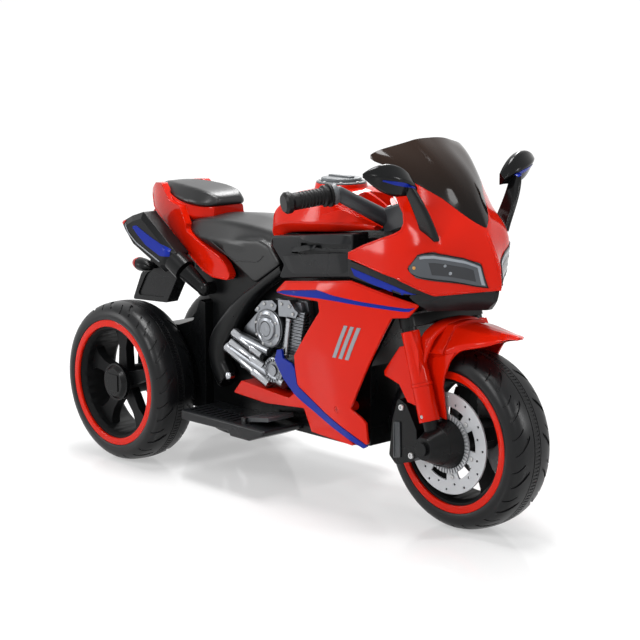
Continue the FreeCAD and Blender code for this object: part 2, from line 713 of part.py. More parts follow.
for foot in (head_foot, head_top - float(size["bush_length"])):
    hull = hull.cut(lean(rod(vec(0, 0, foot - (60 if foot == head_foot else 0)),
                             vec(0, 0, foot + float(size["bush_length"]) + (0 if foot == head_foot else 60)),
                             bush_radius + 0.02)))
socket_at = vec(station(-168), half_body, level(316))
hull = hull.cut(rod(socket_at - vec(0, 20, 0), socket_at + vec(0, 10, 0), 3.4))
half_box = Part.makeBox(3000, 500, 2000, vec(-1500, -500, -500))
keep("chassis_right", largest(hull.common(half_box)))
keep("chassis_left", largest(hull.cut(half_box)))

# Nose and screen come from one block, drawn as level sections: rear end, side, corner, front, ridge.
BLOCK_LEVELS = [
    (325, 82, (288, 74), (318, 54), (346, 24), 374, 0.0),
    (345, 90, (300, 85), (330, 62), (362, 28), 392, 0.0),
    (375, 102, (316, 102), (345, 80), (384, 36), 416, 0.0),
    (400, 106, (321, 106), (352, 85), (390, 36), 420, 0.0),
    (430, 108, (325, 106), (357, 86), (393, 30), 414, 0.0),
    (455, 106, (328, 104), (358, 87), (384, 42), 403, 0.0),
    (484, 103, (322, 98), (352, 79), (374, 38), 388, 0.2),
    (515, 103, (302, 99), (333, 66), (356, 34), 371, 0.6),
    (549, 107, (276, 98), (309, 72), (334, 37), 347, 1.0),
    (579, 108, (248, 106), (281, 80), (305, 40), 318, 1.0),
    (603, 104, (230, 103), (255, 76), (275, 39), 286, 1.0),
    (628, 98, (205, 97), (224, 70), (238, 36), 246, 1.0),
    (650, 93, (180, 92), (194, 64), (204, 32), 210, 1.0)]
BLOCK_REAR = 170.0


def block(inset):
    """The nose block, drawn in by the inset; one that is drawn in runs on to the rear."""
    rear = BLOCK_REAR - 4 * inset
    wires = []
    for z, rear_y_half, side, corner, front, ridge, roundness in BLOCK_LEVELS:
        half = [(rear, rear_y_half - inset), (side[0] - inset * 0.2, side[1] - inset),
                (corner[0] - inset * 0.6, corner[1] - inset * 0.8),
                (front[0] - inset * 0.8, front[1] - inset * 0.6), (ridge - inset * 1.15, 0)]
        right = [vec(station(x), -y, level(z)) for x, y in half]
        left = [vec(station(x), y, level(z)) for x, y in half]
        chord = (right[-1] - right[-2]).normalize()
        tangent = (chord * (1 - roundness) + vec(0, 1, 0) * roundness).normalize()
        start = (right[1] - right[0]).normalize()
        right_curve = Part.BSplineCurve()
        right_curve.interpolate(Points=right, InitialTangent=start, FinalTangent=tangent)
        left_curve = Part.BSplineCurve()
        left_curve.interpolate(Points=list(reversed(left)), InitialTangent=vec(-tangent.x, tangent.y, 0),
                               FinalTangent=vec(-start.x, start.y, 0))
        wires.append(Part.Wire([right_curve.toShape(), left_curve.toShape(),
                                Part.makeLine(left[0], right[0])]))
    return Part.makeLoft(wires, True, False)


outer_block = block(0)
inner_block = block(wall)
lining_block = block(wall + gap)


def shell(points):
    """The part of the hollow block inside a side-view outline."""
    return largest(outer_block.common(prism(points, -200, 200)).cut(inner_block))


SCREEN_SEAM = [(400, 474), (384, 488), (369, 503), (335, 532), (312, 549), (286, 565), (262, 580)]
SCREEN_CORNER = [(246, 586), (239, 590), (237, 596), (242, 602)]
NOSE_SIDE = [
    (190, 427), (190, 437), (222, 452), (290, 477), (302, 484), (306, 495), (303, 510), (288, 532),
    (264, 554)]
NOSE_FOOT = [(440, 391), (415, 391), (352, 383), (324, 399), (300, 409)]
nose_outline = NOSE_SIDE + list(reversed(SCREEN_SEAM)) + [(440, 474)] + NOSE_FOOT
nose = shell(nose_outline)
HEADLIGHT = [(320, 428), (347, 452), (358, 454), (397, 434), (404, 399), (333, 412)]


lamp_room = prism(HEADLIGHT, -200, -3, 6)
nose = nose.cut(lamp_room).cut(mirrored(lamp_room))
nose = largest(nose)
keep("nose_fairing", nose)
lens_room = prism(HEADLIGHT, -200, -3 - gap, 6, -gap)
lens = largest(outer_block.common(lens_room).cut(inner_block))
keep_both("headlight_lenses", lens)
bowl = lining_block.common(lens_room).cut(block(wall + 9))
bowl = largest(bowl)
keep_both("headlight_bowls", bowl)

SCREEN_TOP = [(262, 618), (273, 629), (480, 629), (480, 474)]
screen_outline = [(x + gap * 0.7, z + gap) for x, z in SCREEN_SEAM] + SCREEN_CORNER + SCREEN_TOP
keep("windscreen", shell(screen_outline))

TRAY = [(331, 356), (396, 358), (417, 380), (416, 388), (326, 391), (318, 380), (326, 366)]
TONGUE = [(180, 440), (188, 421), (330, 398), (336, 386), (300, 381), (182, 396)]
tray = lining_block.common(prism(TRAY, -150, 150))
tray = tray.cut(prism(hull_points, -half_body - gap, half_body + gap, 0, gap))
tongue_room = prism(TONGUE, -half_body, -150, 3, gap)
tray = tray.cut(tongue_room).cut(mirrored(tongue_room))
keep("nose_undertray", largest(tray))

# Dash across the inside of the nose, with two sprung buttons and a rocker switch in its sloping face.
DASH = [(307, 491), (348, 491), (352, 512), (336, 528), (309, 503)]
dash = lining_block.common(prism(DASH, -150, 150))
dash = largest(dash)
dash_low = vec(station(309), 0, level(503))
dash_high = vec(station(336), 0, level(528))
dash_way = (dash_high - dash_low).normalize()
dash_normal = vec(-dash_way.z, 0, dash_way.x)
dash_middle = (dash_low + dash_high) * 0.5
button_radius = float(size["button_radius"])
travel = float(size["button_travel"])
BUTTON_DEPTH = 6.0
for label, y in (("horn_button", -24.0), ("music_button", 24.0)):
    foot = dash_middle + vec(0, y, 0) - dash_normal * (BUTTON_DEPTH - gap)
    well = rod(foot - dash_normal * (travel + gap), foot + dash_normal * 20, button_radius + gap)
    dash = dash.cut(well)
    button = rod(foot, foot + dash_normal * (BUTTON_DEPTH + travel + 0.5), button_radius)
    button = button.makeFillet(1.0, [max(button.Edges, key=lambda edge: edge.CenterOfMass.dot(dash_normal))])
    keep(label, button)
ROCKER_HALF_LENGTH = 10.0
ROCKER_HALF_WIDTH = 7.0
ROCKER_PIVOT = -2.0
ROCKER_PIN_RADIUS = 1.6
rocker_frame = FreeCAD.Placement(dash_middle, FreeCAD.Rotation(dash_way, vec(0, 1, 0), dash_normal, "ZXY"))
rocker_well = Part.makeBox(2 * ROCKER_HALF_LENGTH + 2, 2 * ROCKER_HALF_WIDTH + 1, 30,
                           vec(-ROCKER_HALF_LENGTH - 1, -ROCKER_HALF_WIDTH - 0.5, -9))
rocker_well.Placement = rocker_frame
dash = dash.cut(rocker_well)
rocker_profile = [(-ROCKER_HALF_LENGTH, -1), (0, -5), (ROCKER_HALF_LENGTH, -1), (ROCKER_HALF_LENGTH, 2.5),
                  (0, 1.0), (-ROCKER_HALF_LENGTH, 2.5)]
rocker = Part.Face(Part.makePolygon([vec(x, -ROCKER_HALF_WIDTH, z) for x, z in
                                     rocker_profile + rocker_profile[:1]]))
rocker = rocker.extrude(vec(0, 2 * ROCKER_HALF_WIDTH, 0))
pin_half = ROCKER_HALF_WIDTH + 3
rocker_pin = rod(vec(0, -pin_half, ROCKER_PIVOT), vec(0, pin_half, ROCKER_PIVOT), ROCKER_PIN_RADIUS)
rocker = rocker.fuse(rocker_pin).removeSplitter()
rocker.Placement = rocker_frame
keep("power_switch", one_solid(rocker))
pin_hole = rod(vec(0, -pin_half - gap, ROCKER_PIVOT), vec(0, pin_half + gap, ROCKER_PIVOT),
               ROCKER_PIN_RADIUS + float(size["running_fit"]))
pin_hole.Placement = rocker_frame.multiply(pin_hole.Placement)
dash = dash.cut(pin_hole)
keep("dash_panel", largest(dash))


# Mirrors: an almond head swept back to a point, on a broad stalk that stands on the nose.
MIRROR_SECTIONS = [
    (324, -100, 549, 9, 11), (326, -122, 560, 20.5, 17), (322, -152, 567.5, 24.5, 20), (317, -177, 573, 15.5, 14),
    (312, -196, 576, 3, 3)]
GLASS_MIDDLE = (318, -147, 566)
GLASS_HALF_LENGTH = 31.0
GLASS_HALF_HEIGHT = 16.0
GLASS_DEPTH = 2.0
sweep = vec(-12, -96, 0).normalize()
rearward = vec(sweep.y, -sweep.x, 0)


def mirror_section(x, y, z, half_height, depth):
    corners = [(-depth, -half_height * 0.8), (-depth, half_height * 0.8), (depth * 0.3, half_height),
               (depth, half_height * 0.1), (depth * 0.3, -half_height)]
    return rounded([vec(station(x) + across, y, level(z) + up) for across, up in corners], half_height * 0.3)


def mirror_glass(extra):
    """Oval plate in the flat back of a mirror head, grown by the extra."""
    middle = vec(station(GLASS_MIDDLE[0]), GLASS_MIDDLE[1], level(GLASS_MIDDLE[2]))
    oval = Part.Ellipse(vec(0, 0, 0), GLASS_HALF_LENGTH + extra, GLASS_HALF_HEIGHT + extra)
    plate = Part.Face(Part.Wire(oval.toShape())).extrude(vec(0, 0, GLASS_DEPTH + extra))
    upward = vec(0, 0, 1) + sweep * 0.1
    plate.Placement = FreeCAD.Placement(middle - rearward * (GLASS_DEPTH + extra),
                                        FreeCAD.Rotation(sweep, upward, rearward, "ZXY"))
    return plate


def stalk_section(x, y, z, half_long, half_thick):
    corners = [vec(-half_long, -half_thick, 0), vec(half_long, -half_thick, 0),
               vec(half_long, half_thick, 0), vec(-half_long, half_thick, 0)]
    return rounded([vec(station(x), y, level(z)) + corner for corner in corners], half_thick * 0.9)


head = Part.makeLoft([mirror_section(*row) for row in MIRROR_SECTIONS], True, False)
back_room = Part.makeBox(400, 400, 400, vec(-200, -200, 0))
back_room.Placement = FreeCAD.Placement(
    vec(station(GLASS_MIDDLE[0]), GLASS_MIDDLE[1], level(GLASS_MIDDLE[2])),
    FreeCAD.Rotation(sweep, vec(0, 0, 1), rearward, "ZXY"))
stalk = Part.makeLoft([stalk_section(344, -80, 470, 17, 6), stalk_section(345, -96, 503, 15, 5.5),
                       stalk_section(343, -112, 532, 13, 5.5), stalk_section(338, -124, 556, 10, 5.5)], True, False)
mirror = head.cut(back_room).fuse(stalk).cut(block(-gap)).cut(mirror_glass(gap))
keep_both("mirrors", largest(mirror))
keep_both("mirror_glasses", mirror_glass(0))

# Tank with a filler boss, and its cap.
tank_half = float(size["tank_half_width"])
TANK_SECTIONS = [
    (-38, [(0.60, 420), (0.76, 440), (0.74, 462), (0.48, 482), (0.10, 486)]),
    (-18, [(0.72, 437), (0.90, 456), (0.84, 486), (0.56, 503), (0.10, 507)]),
    (20, [(0.82, 448), (0.97, 466), (0.88, 498), (0.58, 516), (0.10, 520)]),
    (70, [(0.84, 454), (1.00, 470), (0.92, 502), (0.60, 522), (0.10, 526)]),
    (120, [(0.84, 459), (0.98, 474), (0.90, 500), (0.58, 517), (0.10, 521)]),
    (165, [(0.82, 465), (0.92, 477), (0.78, 492), (0.48, 501), (0.10, 503)]),
    (204, [(0.70, 469), (0.76, 474), (0.62, 479), (0.36, 482), (0.08, 483)])]
tank = skin([(x, [(share * tank_half, z) for share, z in half]) for x, half in TANK_SECTIONS], 7)
cap_foot = vec(station(62), 0, level(530))
cap_radius = float(size["cap_radius"])
boss = taper(vec(station(62), 0, level(505)), cap_foot, cap_radius + 15, cap_radius + 9)
tank = tank.fuse(boss)
STEERING_LOCK = 20.0


def swept_room(start, end, room):
    """Room that a stretch of bar needs as it swings from lock to lock about the upright axis."""
    near, far = math.hypot(start.x, start.y), math.hypot(end.x, end.y)
    azimuths = [math.degrees(math.atan2(point.y, point.x)) for point in (start, end)]
    spread = STEERING_LOCK + math.degrees(math.asin(room / near))
    slope = (end.z - start.z) / (far - near)
    drop = room * math.hypot(1, slope)
    profile = [(near - room, start.z - slope * room - drop), (far + room, end.z + slope * room - drop),
               (far + room, end.z + 60), (near - room, end.z + 60)]
    face = Part.Face(Part.makePolygon([vec(reach, 0, z) for reach, z in profile + profile[:1]]))
    face.rotate(vec(0, 0, 0), vec(0, 0, 1), min(azimuths) - spread)
    return lean(face.revolve(vec(0, 0, 0), vec(0, 0, 1), max(azimuths) - min(azimuths) + 2 * spread))


arm_room = float(size["bar_arm_radius"]) + 4
halfway = (ROOT + ELBOW) * 0.5
upright_way = leaned.Rotation.inverted().multVec(bar_way)
grip_start = ELBOW + upright_way * grip_foot
grip_stop = ELBOW + upright_way * (grip_end + 4)
scoops = [swept_room(ROOT, halfway, arm_room), swept_room(halfway, ELBOW, arm_room),
          swept_room(grip_start, grip_stop, float(size["grip_flange_radius"]) + 2)]
clamp_reach = math.hypot(CLAMP_REAR, CLAMP_HALF) + 1
clamp_swing = lean(rod(vec(0, 0, clamp_foot - 1), vec(0, 0, clamp_top + 60), clamp_reach))
tank = tank.cut(prism(hull_points, -half_body - gap, half_body + gap, 0, gap))
tank = tank.cut([clamp_swing] + scoops + [mirrored(scoop) for scoop in scoops])
tank = largest(tank)
keep("tank", tank)
cap = Part.makeCylinder(cap_radius, float(size["cap_height"]), cap_foot)
cap = cap.fuse(Part.makeBox(2 * cap_radius - 16, 10, 5,
                            cap_foot + vec(8 - cap_radius, -5, float(size["cap_height"]) - 2))).removeSplitter()
cap = cap.makeFillet(2.5, [edge for edge in cap.Edges if edge.Length > 5 * cap_radius
                           and edge.CenterOfMass.z > cap_foot.z + 2])
keep("tank_cap", cap)

# Tail: side blades that sweep down to the footwell, joined by a deck under the pillion pad.
TAIL_BLADE = [
    (-352, 499), (-380, 497), (-408, 482), (-410, 470), (-394, 450), (-322, 422), (-283, 394), (-213, 357),
    (-183, 348), (-142, 348), (-133, 357), (-146, 375), (-166, 389), (-212, 404), (-264, 424), (-264, 434),
    (-284, 464), (-320, 470)]
tail_half = float(size["tail_half_width"])
TAIL_PLAN = [(-420, 0.30), (-372, 0.62), (-310, 0.82), (-240, 0.93), (-170, 0.985), (-120, 1.0)]
PLAN_WALL = 15.0
outer_line = [vec(station(x), -share * tail_half, 0) for x, share in TAIL_PLAN]
inner_line = [vec(station(x), -share * tail_half + PLAN_WALL, 0) for x, share in reversed(TAIL_PLAN)]
outer_curve = Part.BSplineCurve()
outer_curve.interpolate(outer_line)
inner_curve = Part.BSplineCurve()
inner_curve.interpolate(inner_line)
plan_wire = Part.Wire([outer_curve.toShape(), Part.makeLine(outer_line[-1], inner_line[0]), inner_curve.toShape(),
                       Part.makeLine(inner_line[-1], outer_line[0])])
plan = Part.Face(plan_wire).extrude(vec(0, 0, 1000))
blade = prism(TAIL_BLADE, -200, 0, 7).common(plan)
body_room = prism([(-251, 300), (-251, 388), (0, 388), (0, 300)], -half_body - gap, half_body + gap)
blade = largest(blade.cut(body_room))
DECK_SECTIONS = [
    (-229, [(32, 440), (36, 446), (33, 465)]), (-262, [(46, 438), (52, 446), (48, 467)]),
    (-300, [(50, 438), (60, 450), (54, 471)]), (-345, [(44, 450), (54, 464), (48, 486)]),
    (-385, [(28, 466), (38, 478), (32, 494)]), (-418, [(12, 478), (18, 484), (12, 491)])]
deck = skin(DECK_SECTIONS, 5)
PAD_SECTIONS = [
    (-404, [(10, 483), (14, 486), (8, 491)]), (-372, [(30, 480), (38, 486), (24, 499)]),
    (-330, [(44, 471), (52, 479), (36, 499)]), (-285, [(48, 464), (56, 471), (40, 496)]),
    (-245, [(42, 463), (49, 469), (36, 489)]), (-224, [(26, 466), (32, 470), (24, 479)])]
pad = skin(PAD_SECTIONS, 6)
keep("pillion_pad", pad)
tail = deck.fuse([blade, mirrored(blade)]).cut(pad)
TAIL_FRAME = [
    (-250.4, 384), (-250.4, 338), (-272, 332), (-338, 326), (-374, 321), (-420, 329), (-412, 352), (-402, 400),
    (-394, 446), (-350, 444), (-300, 432), (-268, 404)]
half_tail_frame = float(size["tail_frame_half_width"])
tail_frame = prism(TAIL_FRAME, -half_tail_frame, half_tail_frame)
half_hanger = float(size["hanger_half_width"])
PLATE_HANGER = [(-352, 334), (-362, 320), (-395, 267), (-498, 261), (-472, 313), (-436, 346), (-404, 356)]
PLATE_PANEL = [(-436, 332), (-376, 313), (-403, 276), (-484, 271), (-459, 311)]
hanger = prism(PLATE_HANGER, -half_hanger, half_hanger, 3)
for sign in (-1, 1):
    hanger = hanger.cut(prism(PLATE_PANEL, sign * half_hanger, sign * (half_hanger - 3), 4))
tail_frame = tail_frame.fuse(hanger).removeSplitter()
tail = tail.cut(prism(TAIL_FRAME, -half_tail_frame - gap, half_tail_frame + gap, 0, gap))
tail = largest(tail)
keep("tail_cowl", tail)
keep("tail_frame", one_solid(tail_frame))

# Seat with a flap on each side.
seat_half = float(size["seat_half_width"])
SEAT_SECTIONS = [
    (-282, [(0.58, 412), (0.70, 424), (0.60, 436), (0.10, 440)]),
    (-258, [(0.72, 398), (0.84, 417), (0.70, 442), (0.10, 448)]),
    (-222, [(0.78, 387), (0.92, 414), (0.76, 447), (0.10, 453)]),
    (-160, [(0.88, 387), (1.00, 414), (0.82, 450), (0.10, 457)]),
    (-95, [(0.90, 387), (1.00, 410), (0.80, 447), (0.10, 454)]),
    (-39, [(0.86, 392), (0.94, 410), (0.76, 440), (0.10, 447)])]
seat = skin([(x, [(share * seat_half, z) for share, z in half]) for x, half in SEAT_SECTIONS], 9)
FLAP = [(-158, 398), (-130, 381), (-78, 353), (-66, 353), (-4, 391), (-33, 420), (-60, 428), (-150, 420)]
for sign in (-1, 1):
    flap = prism(FLAP, sign * (half_body + 2), sign * (seat_half - 1), 6)
    flap = soften_outer(flap, sign * (seat_half - 1), 4)
    seat = seat.fuse(flap)
seat = seat.cut(prism(hull_points, -half_body - gap, half_body + gap, 0, gap))
blade_room = prism(TAIL_BLADE, -200, -20, 7, gap).common(plan)
seat = seat.cut(tank).cut(tail).cut(blade_room).cut(mirrored(blade_room))
seat = seat.cut(prism(TAIL_FRAME, -half_tail_frame - gap, half_tail_frame + gap, 0, gap))
seat = largest(seat)
keep("seat", seat)

# Black side covers under the tank, with a tongue that carries the nose.
cover_half = float(size["cover_half_width"])
SIDE_COVER = [(-5, 442), (188, 465.5), (188, 394), (36, 375), (10, 372), (23, 396), (-4, 424)]
side_cover = prism(SIDE_COVER, -half_body - gap, -cover_half, 4)
side_cover = soften_outer(side_cover, -cover_half, 3)
for groove in ([(66, 438), (176, 448), (182, 441), (120, 434), (66, 432)],
               [(44, 418), (150, 424), (184, 430), (184, 434), (120, 429), (44, 427)]):
    side_cover = side_cover.cut(prism(groove, -cover_half - 5, -cover_half + 7))
tongue = prism(TONGUE, -half_body - gap, -cover_half - 3, 3).common(lining_block)
side_cover = side_cover.fuse(tongue)
side_cover = side_cover.cut(tank)
side_cover = largest(side_cover)
keep_both("side_covers", side_cover)

# Side fairings: bulged panels with bosses back to the hull, and a blade along the lower edge.
bulge = float(size["fairing_bulge"])
bulge_middle = vec(station(140), bulge - float(size["fairing_half_width"]), level(290))
ball_outer = Part.makeSphere(bulge, bulge_middle)
ball_inner = Part.makeSphere(bulge - float(size["fairing_wall"]), bulge_middle)
FAIRING = [
    (6, 349), (34, 371), (192, 391), (328, 367), (309, 345), (279, 341), (198, 191), (192, 181), (214, 169),
    (223, 161), (221.5, 122.8), (165.6, 147.2), (131.4, 164), (100.6, 181.6), (70.6, 197.3), (66, 201.5),
    (62.5, 230), (62, 250), (126, 332), (122, 349), (36, 347)]
BLADE = [(13, 251), (4, 232), (20, 212), (27, 203.5), (55.5, 181.5), (70, 174.5), (103, 161), (148.5, 139.5),
         (181.5, 125.5), (211, 116), (220, 121.5), (165, 145.5), (130.5, 162.5), (100, 180), (70, 195.5),
         (64.5, 200.5), (61, 227), (54, 233.5), (29, 239), (26, 254)]
BLADE_BOSS = (120, 161)
BOSSES = [(62, 361), (236, 371), (160, 174)]


def bulged(points, radius):
    return prism(points, -half_body, -200, radius).common(ball_outer).cut(ball_inner)


fairing = bulged(FAIRING, 3)
screws = []
for x, z in BOSSES:
    foot = vec(station(x), -half_body - gap, level(z))
    boss = rod(foot, vec(station(x), -200, level(z)), 8).common(ball_inner)
    boss = boss.fuse(rod(foot, vec(station(x), -200, level(z)), 8).common(ball_outer))
    fairing = fairing.fuse(boss)
for x, z in BOSSES:
    face = -math.sqrt(bulge ** 2 - (station(x) - bulge_middle.x) ** 2 - (level(z) - bulge_middle.z) ** 2)
    face += bulge_middle.y
    top = vec(station(x), face + 0.6, level(z))
    head = rod(top, top + vec(0, 3, 0), size["screw_head_radius"])
    shank = rod(top + vec(0, 3, 0), top + vec(0, 26, 0), size["screw_radius"])
    slot = Part.makeBox(7, 1.2, 1.2, top + vec(-3.5, -0.01, -0.6))
    cross = Part.makeBox(1.2, 1.2, 7, top + vec(-0.6, -0.01, -3.5))
    screws.append(head.fuse(shank).cut(slot).cut(cross))
    fairing = fairing.cut(rod(top - vec(0, 20, 0), top + vec(0, 3 + gap, 0), float(size["screw_head_radius"]) + gap))
    fairing = fairing.cut(rod(top, top + vec(0, 26 + gap, 0), float(size["screw_radius"]) + 0.1))
keep_pair("side_fairing", largest(fairing.removeSplitter()))
keep("fairing_screws", Part.makeCompound(screws + [mirrored(screw) for screw in screws]))
side_blade = largest(bulged(BLADE, 1.5))
boss_x, boss_z = station(BLADE_BOSS[0]), level(BLADE_BOSS[1])
blade_boss = rod(vec(boss_x, -half_body - gap, boss_z), vec(boss_x, -200, boss_z), 5)
side_blade = side_blade.fuse(blade_boss.common(ball_outer)).removeSplitter()
keep_both("side_blades", largest(side_blade))

BELLY = [(-107, 157), (-86, 181), (-8, 174), (36, 171), (57, 189), (198, 117), (92, 123), (73, 160), (-23, 152)]
belly = prism(BELLY, -half_body - gap, -cover_half, 2)
belly = belly.cut(rod(vec(boss_x, 0, boss_z), vec(boss_x, -200, boss_z), 5 + gap))
belly = belly.cut(prism(BLADE, -half_body, -200, 1.5, gap).common(ball_outer).cut(ball_inner))
keep_both("belly_panels", largest(belly))

# Frame spars that curl from the tank down to the footrests.
SPAR = [
    (12, 396), (-72, 343), (-127, 304), (-172, 259), (-186, 228), (-183, 198), (-163, 165), (-119, 178),
    (-142, 204), (-139, 235), (-115, 265), (-69, 319), (-38, 345), (8, 375)]
spar = prism(SPAR, -half_body - gap, -cover_half + 2, 8)
spar = soften_outer(spar, -cover_half + 2, 5)
keep_both("frame_spars", spar)

# Dummy engines: case, round cover, finned cylinder, head, two pipes and a gear cover.
engine_face = -half_body - gap
engine_half = float(size["engine_half_width"])
CASE = [(-66, 304), (-20, 331), (56, 335), (62, 304), (42, 240), (20, 184), (-62, 188), (-118, 206), (-128, 232),
        (-103, 271)]
case_outer = engine_face - 12
engine = prism(CASE, engine_face, case_outer, 4)


def on_side(x, z, y):
    return vec(station(x), y, level(z))


pieces = [
    taper(on_side(-23, 281, case_outer + 1), on_side(-23, 281, -engine_half + 6), 37, 33),
    rod(on_side(-26, 280, case_outer + 1), on_side(-26, 280, -engine_half + 2), 19),
    rod(on_side(-26, 280, case_outer + 1), on_side(-26, 280, -engine_half), 12),
    prism([(-62, 306), (-40, 326), (-15, 330), (-3, 323), (-7, 314), (-40, 305)], case_outer + 1, -engine_half + 6, 2),
    prism([(14, 330), (48, 333), (56, 306), (38, 242), (12, 240)], case_outer + 1, -engine_half + 14, 2),
    prism([(2, 334), (30, 336), (44, 322), (52, 318), (46, 308), (4, 306)], case_outer + 1, -engine_half + 4, 2),
    rod(on_side(29, 304, -engine_half + 5), on_side(20, 240, -engine_half + 5), 4.5),
    rod(on_side(-114, 256, -engine_half + 12), on_side(-24, 240, -engine_half + 10), 9),
    rod(on_side(-122, 230, -engine_half + 12), on_side(14, 190, -engine_half + 10), 10),
    rod(on_side(-98, 207, -engine_half + 14), on_side(-20, 190, -engine_half + 12), 8),
    taper(on_side(-8, 211, case_outer + 1), on_side(-8, 211, -engine_half + 3), 24, 22),
    rod(on_side(-8, 211, case_outer + 1), on_side(-8, 211, -engine_half), 9)]
FIN_PITCH = 5.6
for number in range(14):
    z = 243 + number * FIN_PITCH
    lean_back = (z - 243) * 0.19
    fin = Part.makeBox(42, engine_half - 8 - abs(case_outer) + 1, 2.4,
                       vec(station(8) + lean_back, -engine_half + 8, level(z)))
    pieces.append(fin)
engine = engine.fuse(pieces)
engine = engine.common(prism(CASE, engine_face, -engine_half - 1, 4, 6))
engine = engine.cut(prism(SPAR, -half_body, -cover_half, 8, gap))
engine = largest(engine.removeSplitter())
keep_both("engine_covers", engine)

# Silencers with a collar and a pipe that runs forward to the hull.
exhaust_in = -tail_half - 1
exhaust_out = exhaust_in - float(size["exhaust_width"])
exhaust_middle = (exhaust_in + exhaust_out) / 2
SILENCER = [(-404, 427), (-371, 442), (-338, 452), (-244, 386), (-262, 357), (-277, 349), (-369, 391)]
BEVEL = 9.0
FACE_SHARE = 0.78
middle_x = sum(x for x, z in SILENCER) / len(SILENCER)
middle_z = sum(z for x, z in SILENCER) / len(SILENCER)
silencer_face = [(middle_x + (x - middle_x) * FACE_SHARE, middle_z + (z - middle_z) * FACE_SHARE)
                 for x, z in SILENCER]
silencer = Part.makeLoft([
    outline(SILENCER, exhaust_in, 4), outline(SILENCER, exhaust_out + BEVEL, 4),
    outline(silencer_face, exhaust_out, 4)], True, True)
collar_start = vec(station(-262), exhaust_middle, level(373))
collar_end = vec(station(-236), exhaust_middle + 3, level(356))
pipe_end = vec(station(-204), -half_body - 20, level(325))
flange_end = vec(station(-204), -half_body - gap, level(325))
exhaust = silencer.fuse([
    rod(collar_start, collar_end, 21), taper(collar_end, pipe_end, 16, 12), Part.makeSphere(13, pipe_end),
    rod(pipe_end, flange_end, 11)])
exhaust = largest(exhaust)
keep_both("exhausts", exhaust)

# Indicators beside the tail frame, and the lamp between the tail's points.
pod = Part.makeSphere(1)
pod_stretch = FreeCAD.Matrix()
pod_stretch.scale(26, 15, 12)
pod = pod.transformGeometry(pod_stretch)
pod.rotate(vec(0, 0, 0), vec(0, 1, 0), 8)
pod.translate(vec(station(-404), -half_tail_frame - 24, level(343)))
neck = rod(vec(station(-397), -half_tail_frame - gap, level(340)),
           vec(station(-397), -half_tail_frame - 24, level(341)), 6)
pod = pod.fuse(neck).removeSplitter()
keep_both("indicators", one_solid(pod))
lamp = prism([(-402.5, 404), (-395, 445), (-407, 449), (-416, 440), (-414, 412)], -24, 24, 3)
lamp = largest(lamp.cut(tail))
keep("tail_lamp", lamp)

# Rear axle housing, hollow round the two gear motors.
half_housing = float(size["housing_half_width"])
HOUSING = [(-204.4, 108), (-204.4, 299.5), (-219, 303), (-238, 264), (-279, 250), (-330, 246), (-398, 230),
           (-404, 130), (-372, 106)]
housing = prism(HOUSING, -half_housing, half_housing)
housing_cavity = Part.Face(outline(HOUSING, -half_housing + inner_wall, 0)).makeOffset2D(-inner_wall, 2)
housing = housing.cut(housing_cavity.extrude(vec(0, 2 * (half_housing - inner_wall), 0)))
axle_line = (vec(rear_axle_x, -400, axle_z), vec(rear_axle_x, 400, axle_z))
hub_hole = 15.0
housing = housing.cut(rod(*axle_line, hub_hole + gap))
keep("rear_axle_housing", one_solid(housing))
gear_outer = half_housing - inner_wall - gap
gear_inner = gear_outer - float(size["gearbox_depth"])
gearbox = Part.makeBox(92, float(size["gearbox_depth"]), 52,
                       vec(float(rear_axle_x) - 26, -gear_outer, float(axle_z) - 26))
gearbox = gearbox.fuse([
    rod(vec(rear_axle_x, -gear_outer, axle_z), vec(rear_axle_x, -half_housing - 5.5, axle_z), hub_hole),
    rod(vec(float(rear_axle_x) + 46, -gear_inner, axle_z),
        vec(float(rear_axle_x) + 46, -gear_inner + float(size["motor_length"]), axle_z), size["motor_radius"])])
gearbox = one_solid(gearbox.cut(rod(*axle_line, float(size["axle_radius"]) + 0.1)).removeSplitter())
keep_both("gear_motors", gearbox)

# Battery and control box on the hull's floor.
floor = level(105) + inner_wall + gap
battery = doc.addObject("Part::Box", "battery")
battery.Label = "battery"
for prop, alias in (("Length", "battery_length"), ("Width", "battery_width"), ("Height", "battery_height")):
    battery.setExpression(prop, size[alias].expression)
battery.Placement = FreeCAD.Placement(
    vec(station(-160), -float(size["battery_width"]) / 2, floor), FreeCAD.Rotation())
battery.setExpression("Placement.Base.y", text(size["battery_width"] * -0.5))
parts.append(battery)
control = Part.makeBox(70, 60, 26, vec(station(-160) + float(size["battery_length"]) + 20, -30, floor))
keep("control_box", control.makeFillet(4, [edge for edge in control.Edges if edge.BoundBox.ZLength > 1]))

# Footrests with ribbed treads, and the accelerator pedal on the right one.
footrest_half = float(size["footrest_half_width"])
tread = float(size["footrest_top"])
FOOTREST = [(-188, tread - 18), (-60, tread - 16), (-56, tread - 24), (-8, tread - 24), (28, tread - 10),
            (34, tread), (-188, tread)]
footrest = prism(FOOTREST, -half_body - gap, -footrest_half, 3)
footrest = soften_outer(footrest, -footrest_half, 4)
for number in range(9):
    x = station(-176 + 14 * number)
    footrest = footrest.cut(Part.makeBox(6, footrest_half - 22 - cover_half + 8, 3,
                                         vec(x, -footrest_half + 12, level(tread) - 2.5)))
pedal_length = float(size["pedal_length"])
pedal_width = float(size["pedal_width"])
pedal_depth = float(size["pedal_depth"])
hinge = vec(station(-34), -footrest_half + 18, level(tread) + 6)
lugs = []
left_footrest = mirrored(footrest)
for along in (-5.0 - gap, pedal_width + gap):
    lug = Part.makeBox(10, 5, 11, hinge + vec(-5, along, -6.5))
    lugs.append(lug)
footrest = footrest.fuse(lugs)
hinge_hole = rod(hinge - vec(0, 20, 0), hinge + vec(0, pedal_width + 20, 0), 2.1)
footrest = footrest.cut(hinge_hole.common(Part.makeBox(400, pedal_width + 12, 400, hinge + vec(-200, -6, -200))))
keep("footrests", Part.makeCompound([one_solid(footrest.removeSplitter()), one_solid(left_footrest)]))
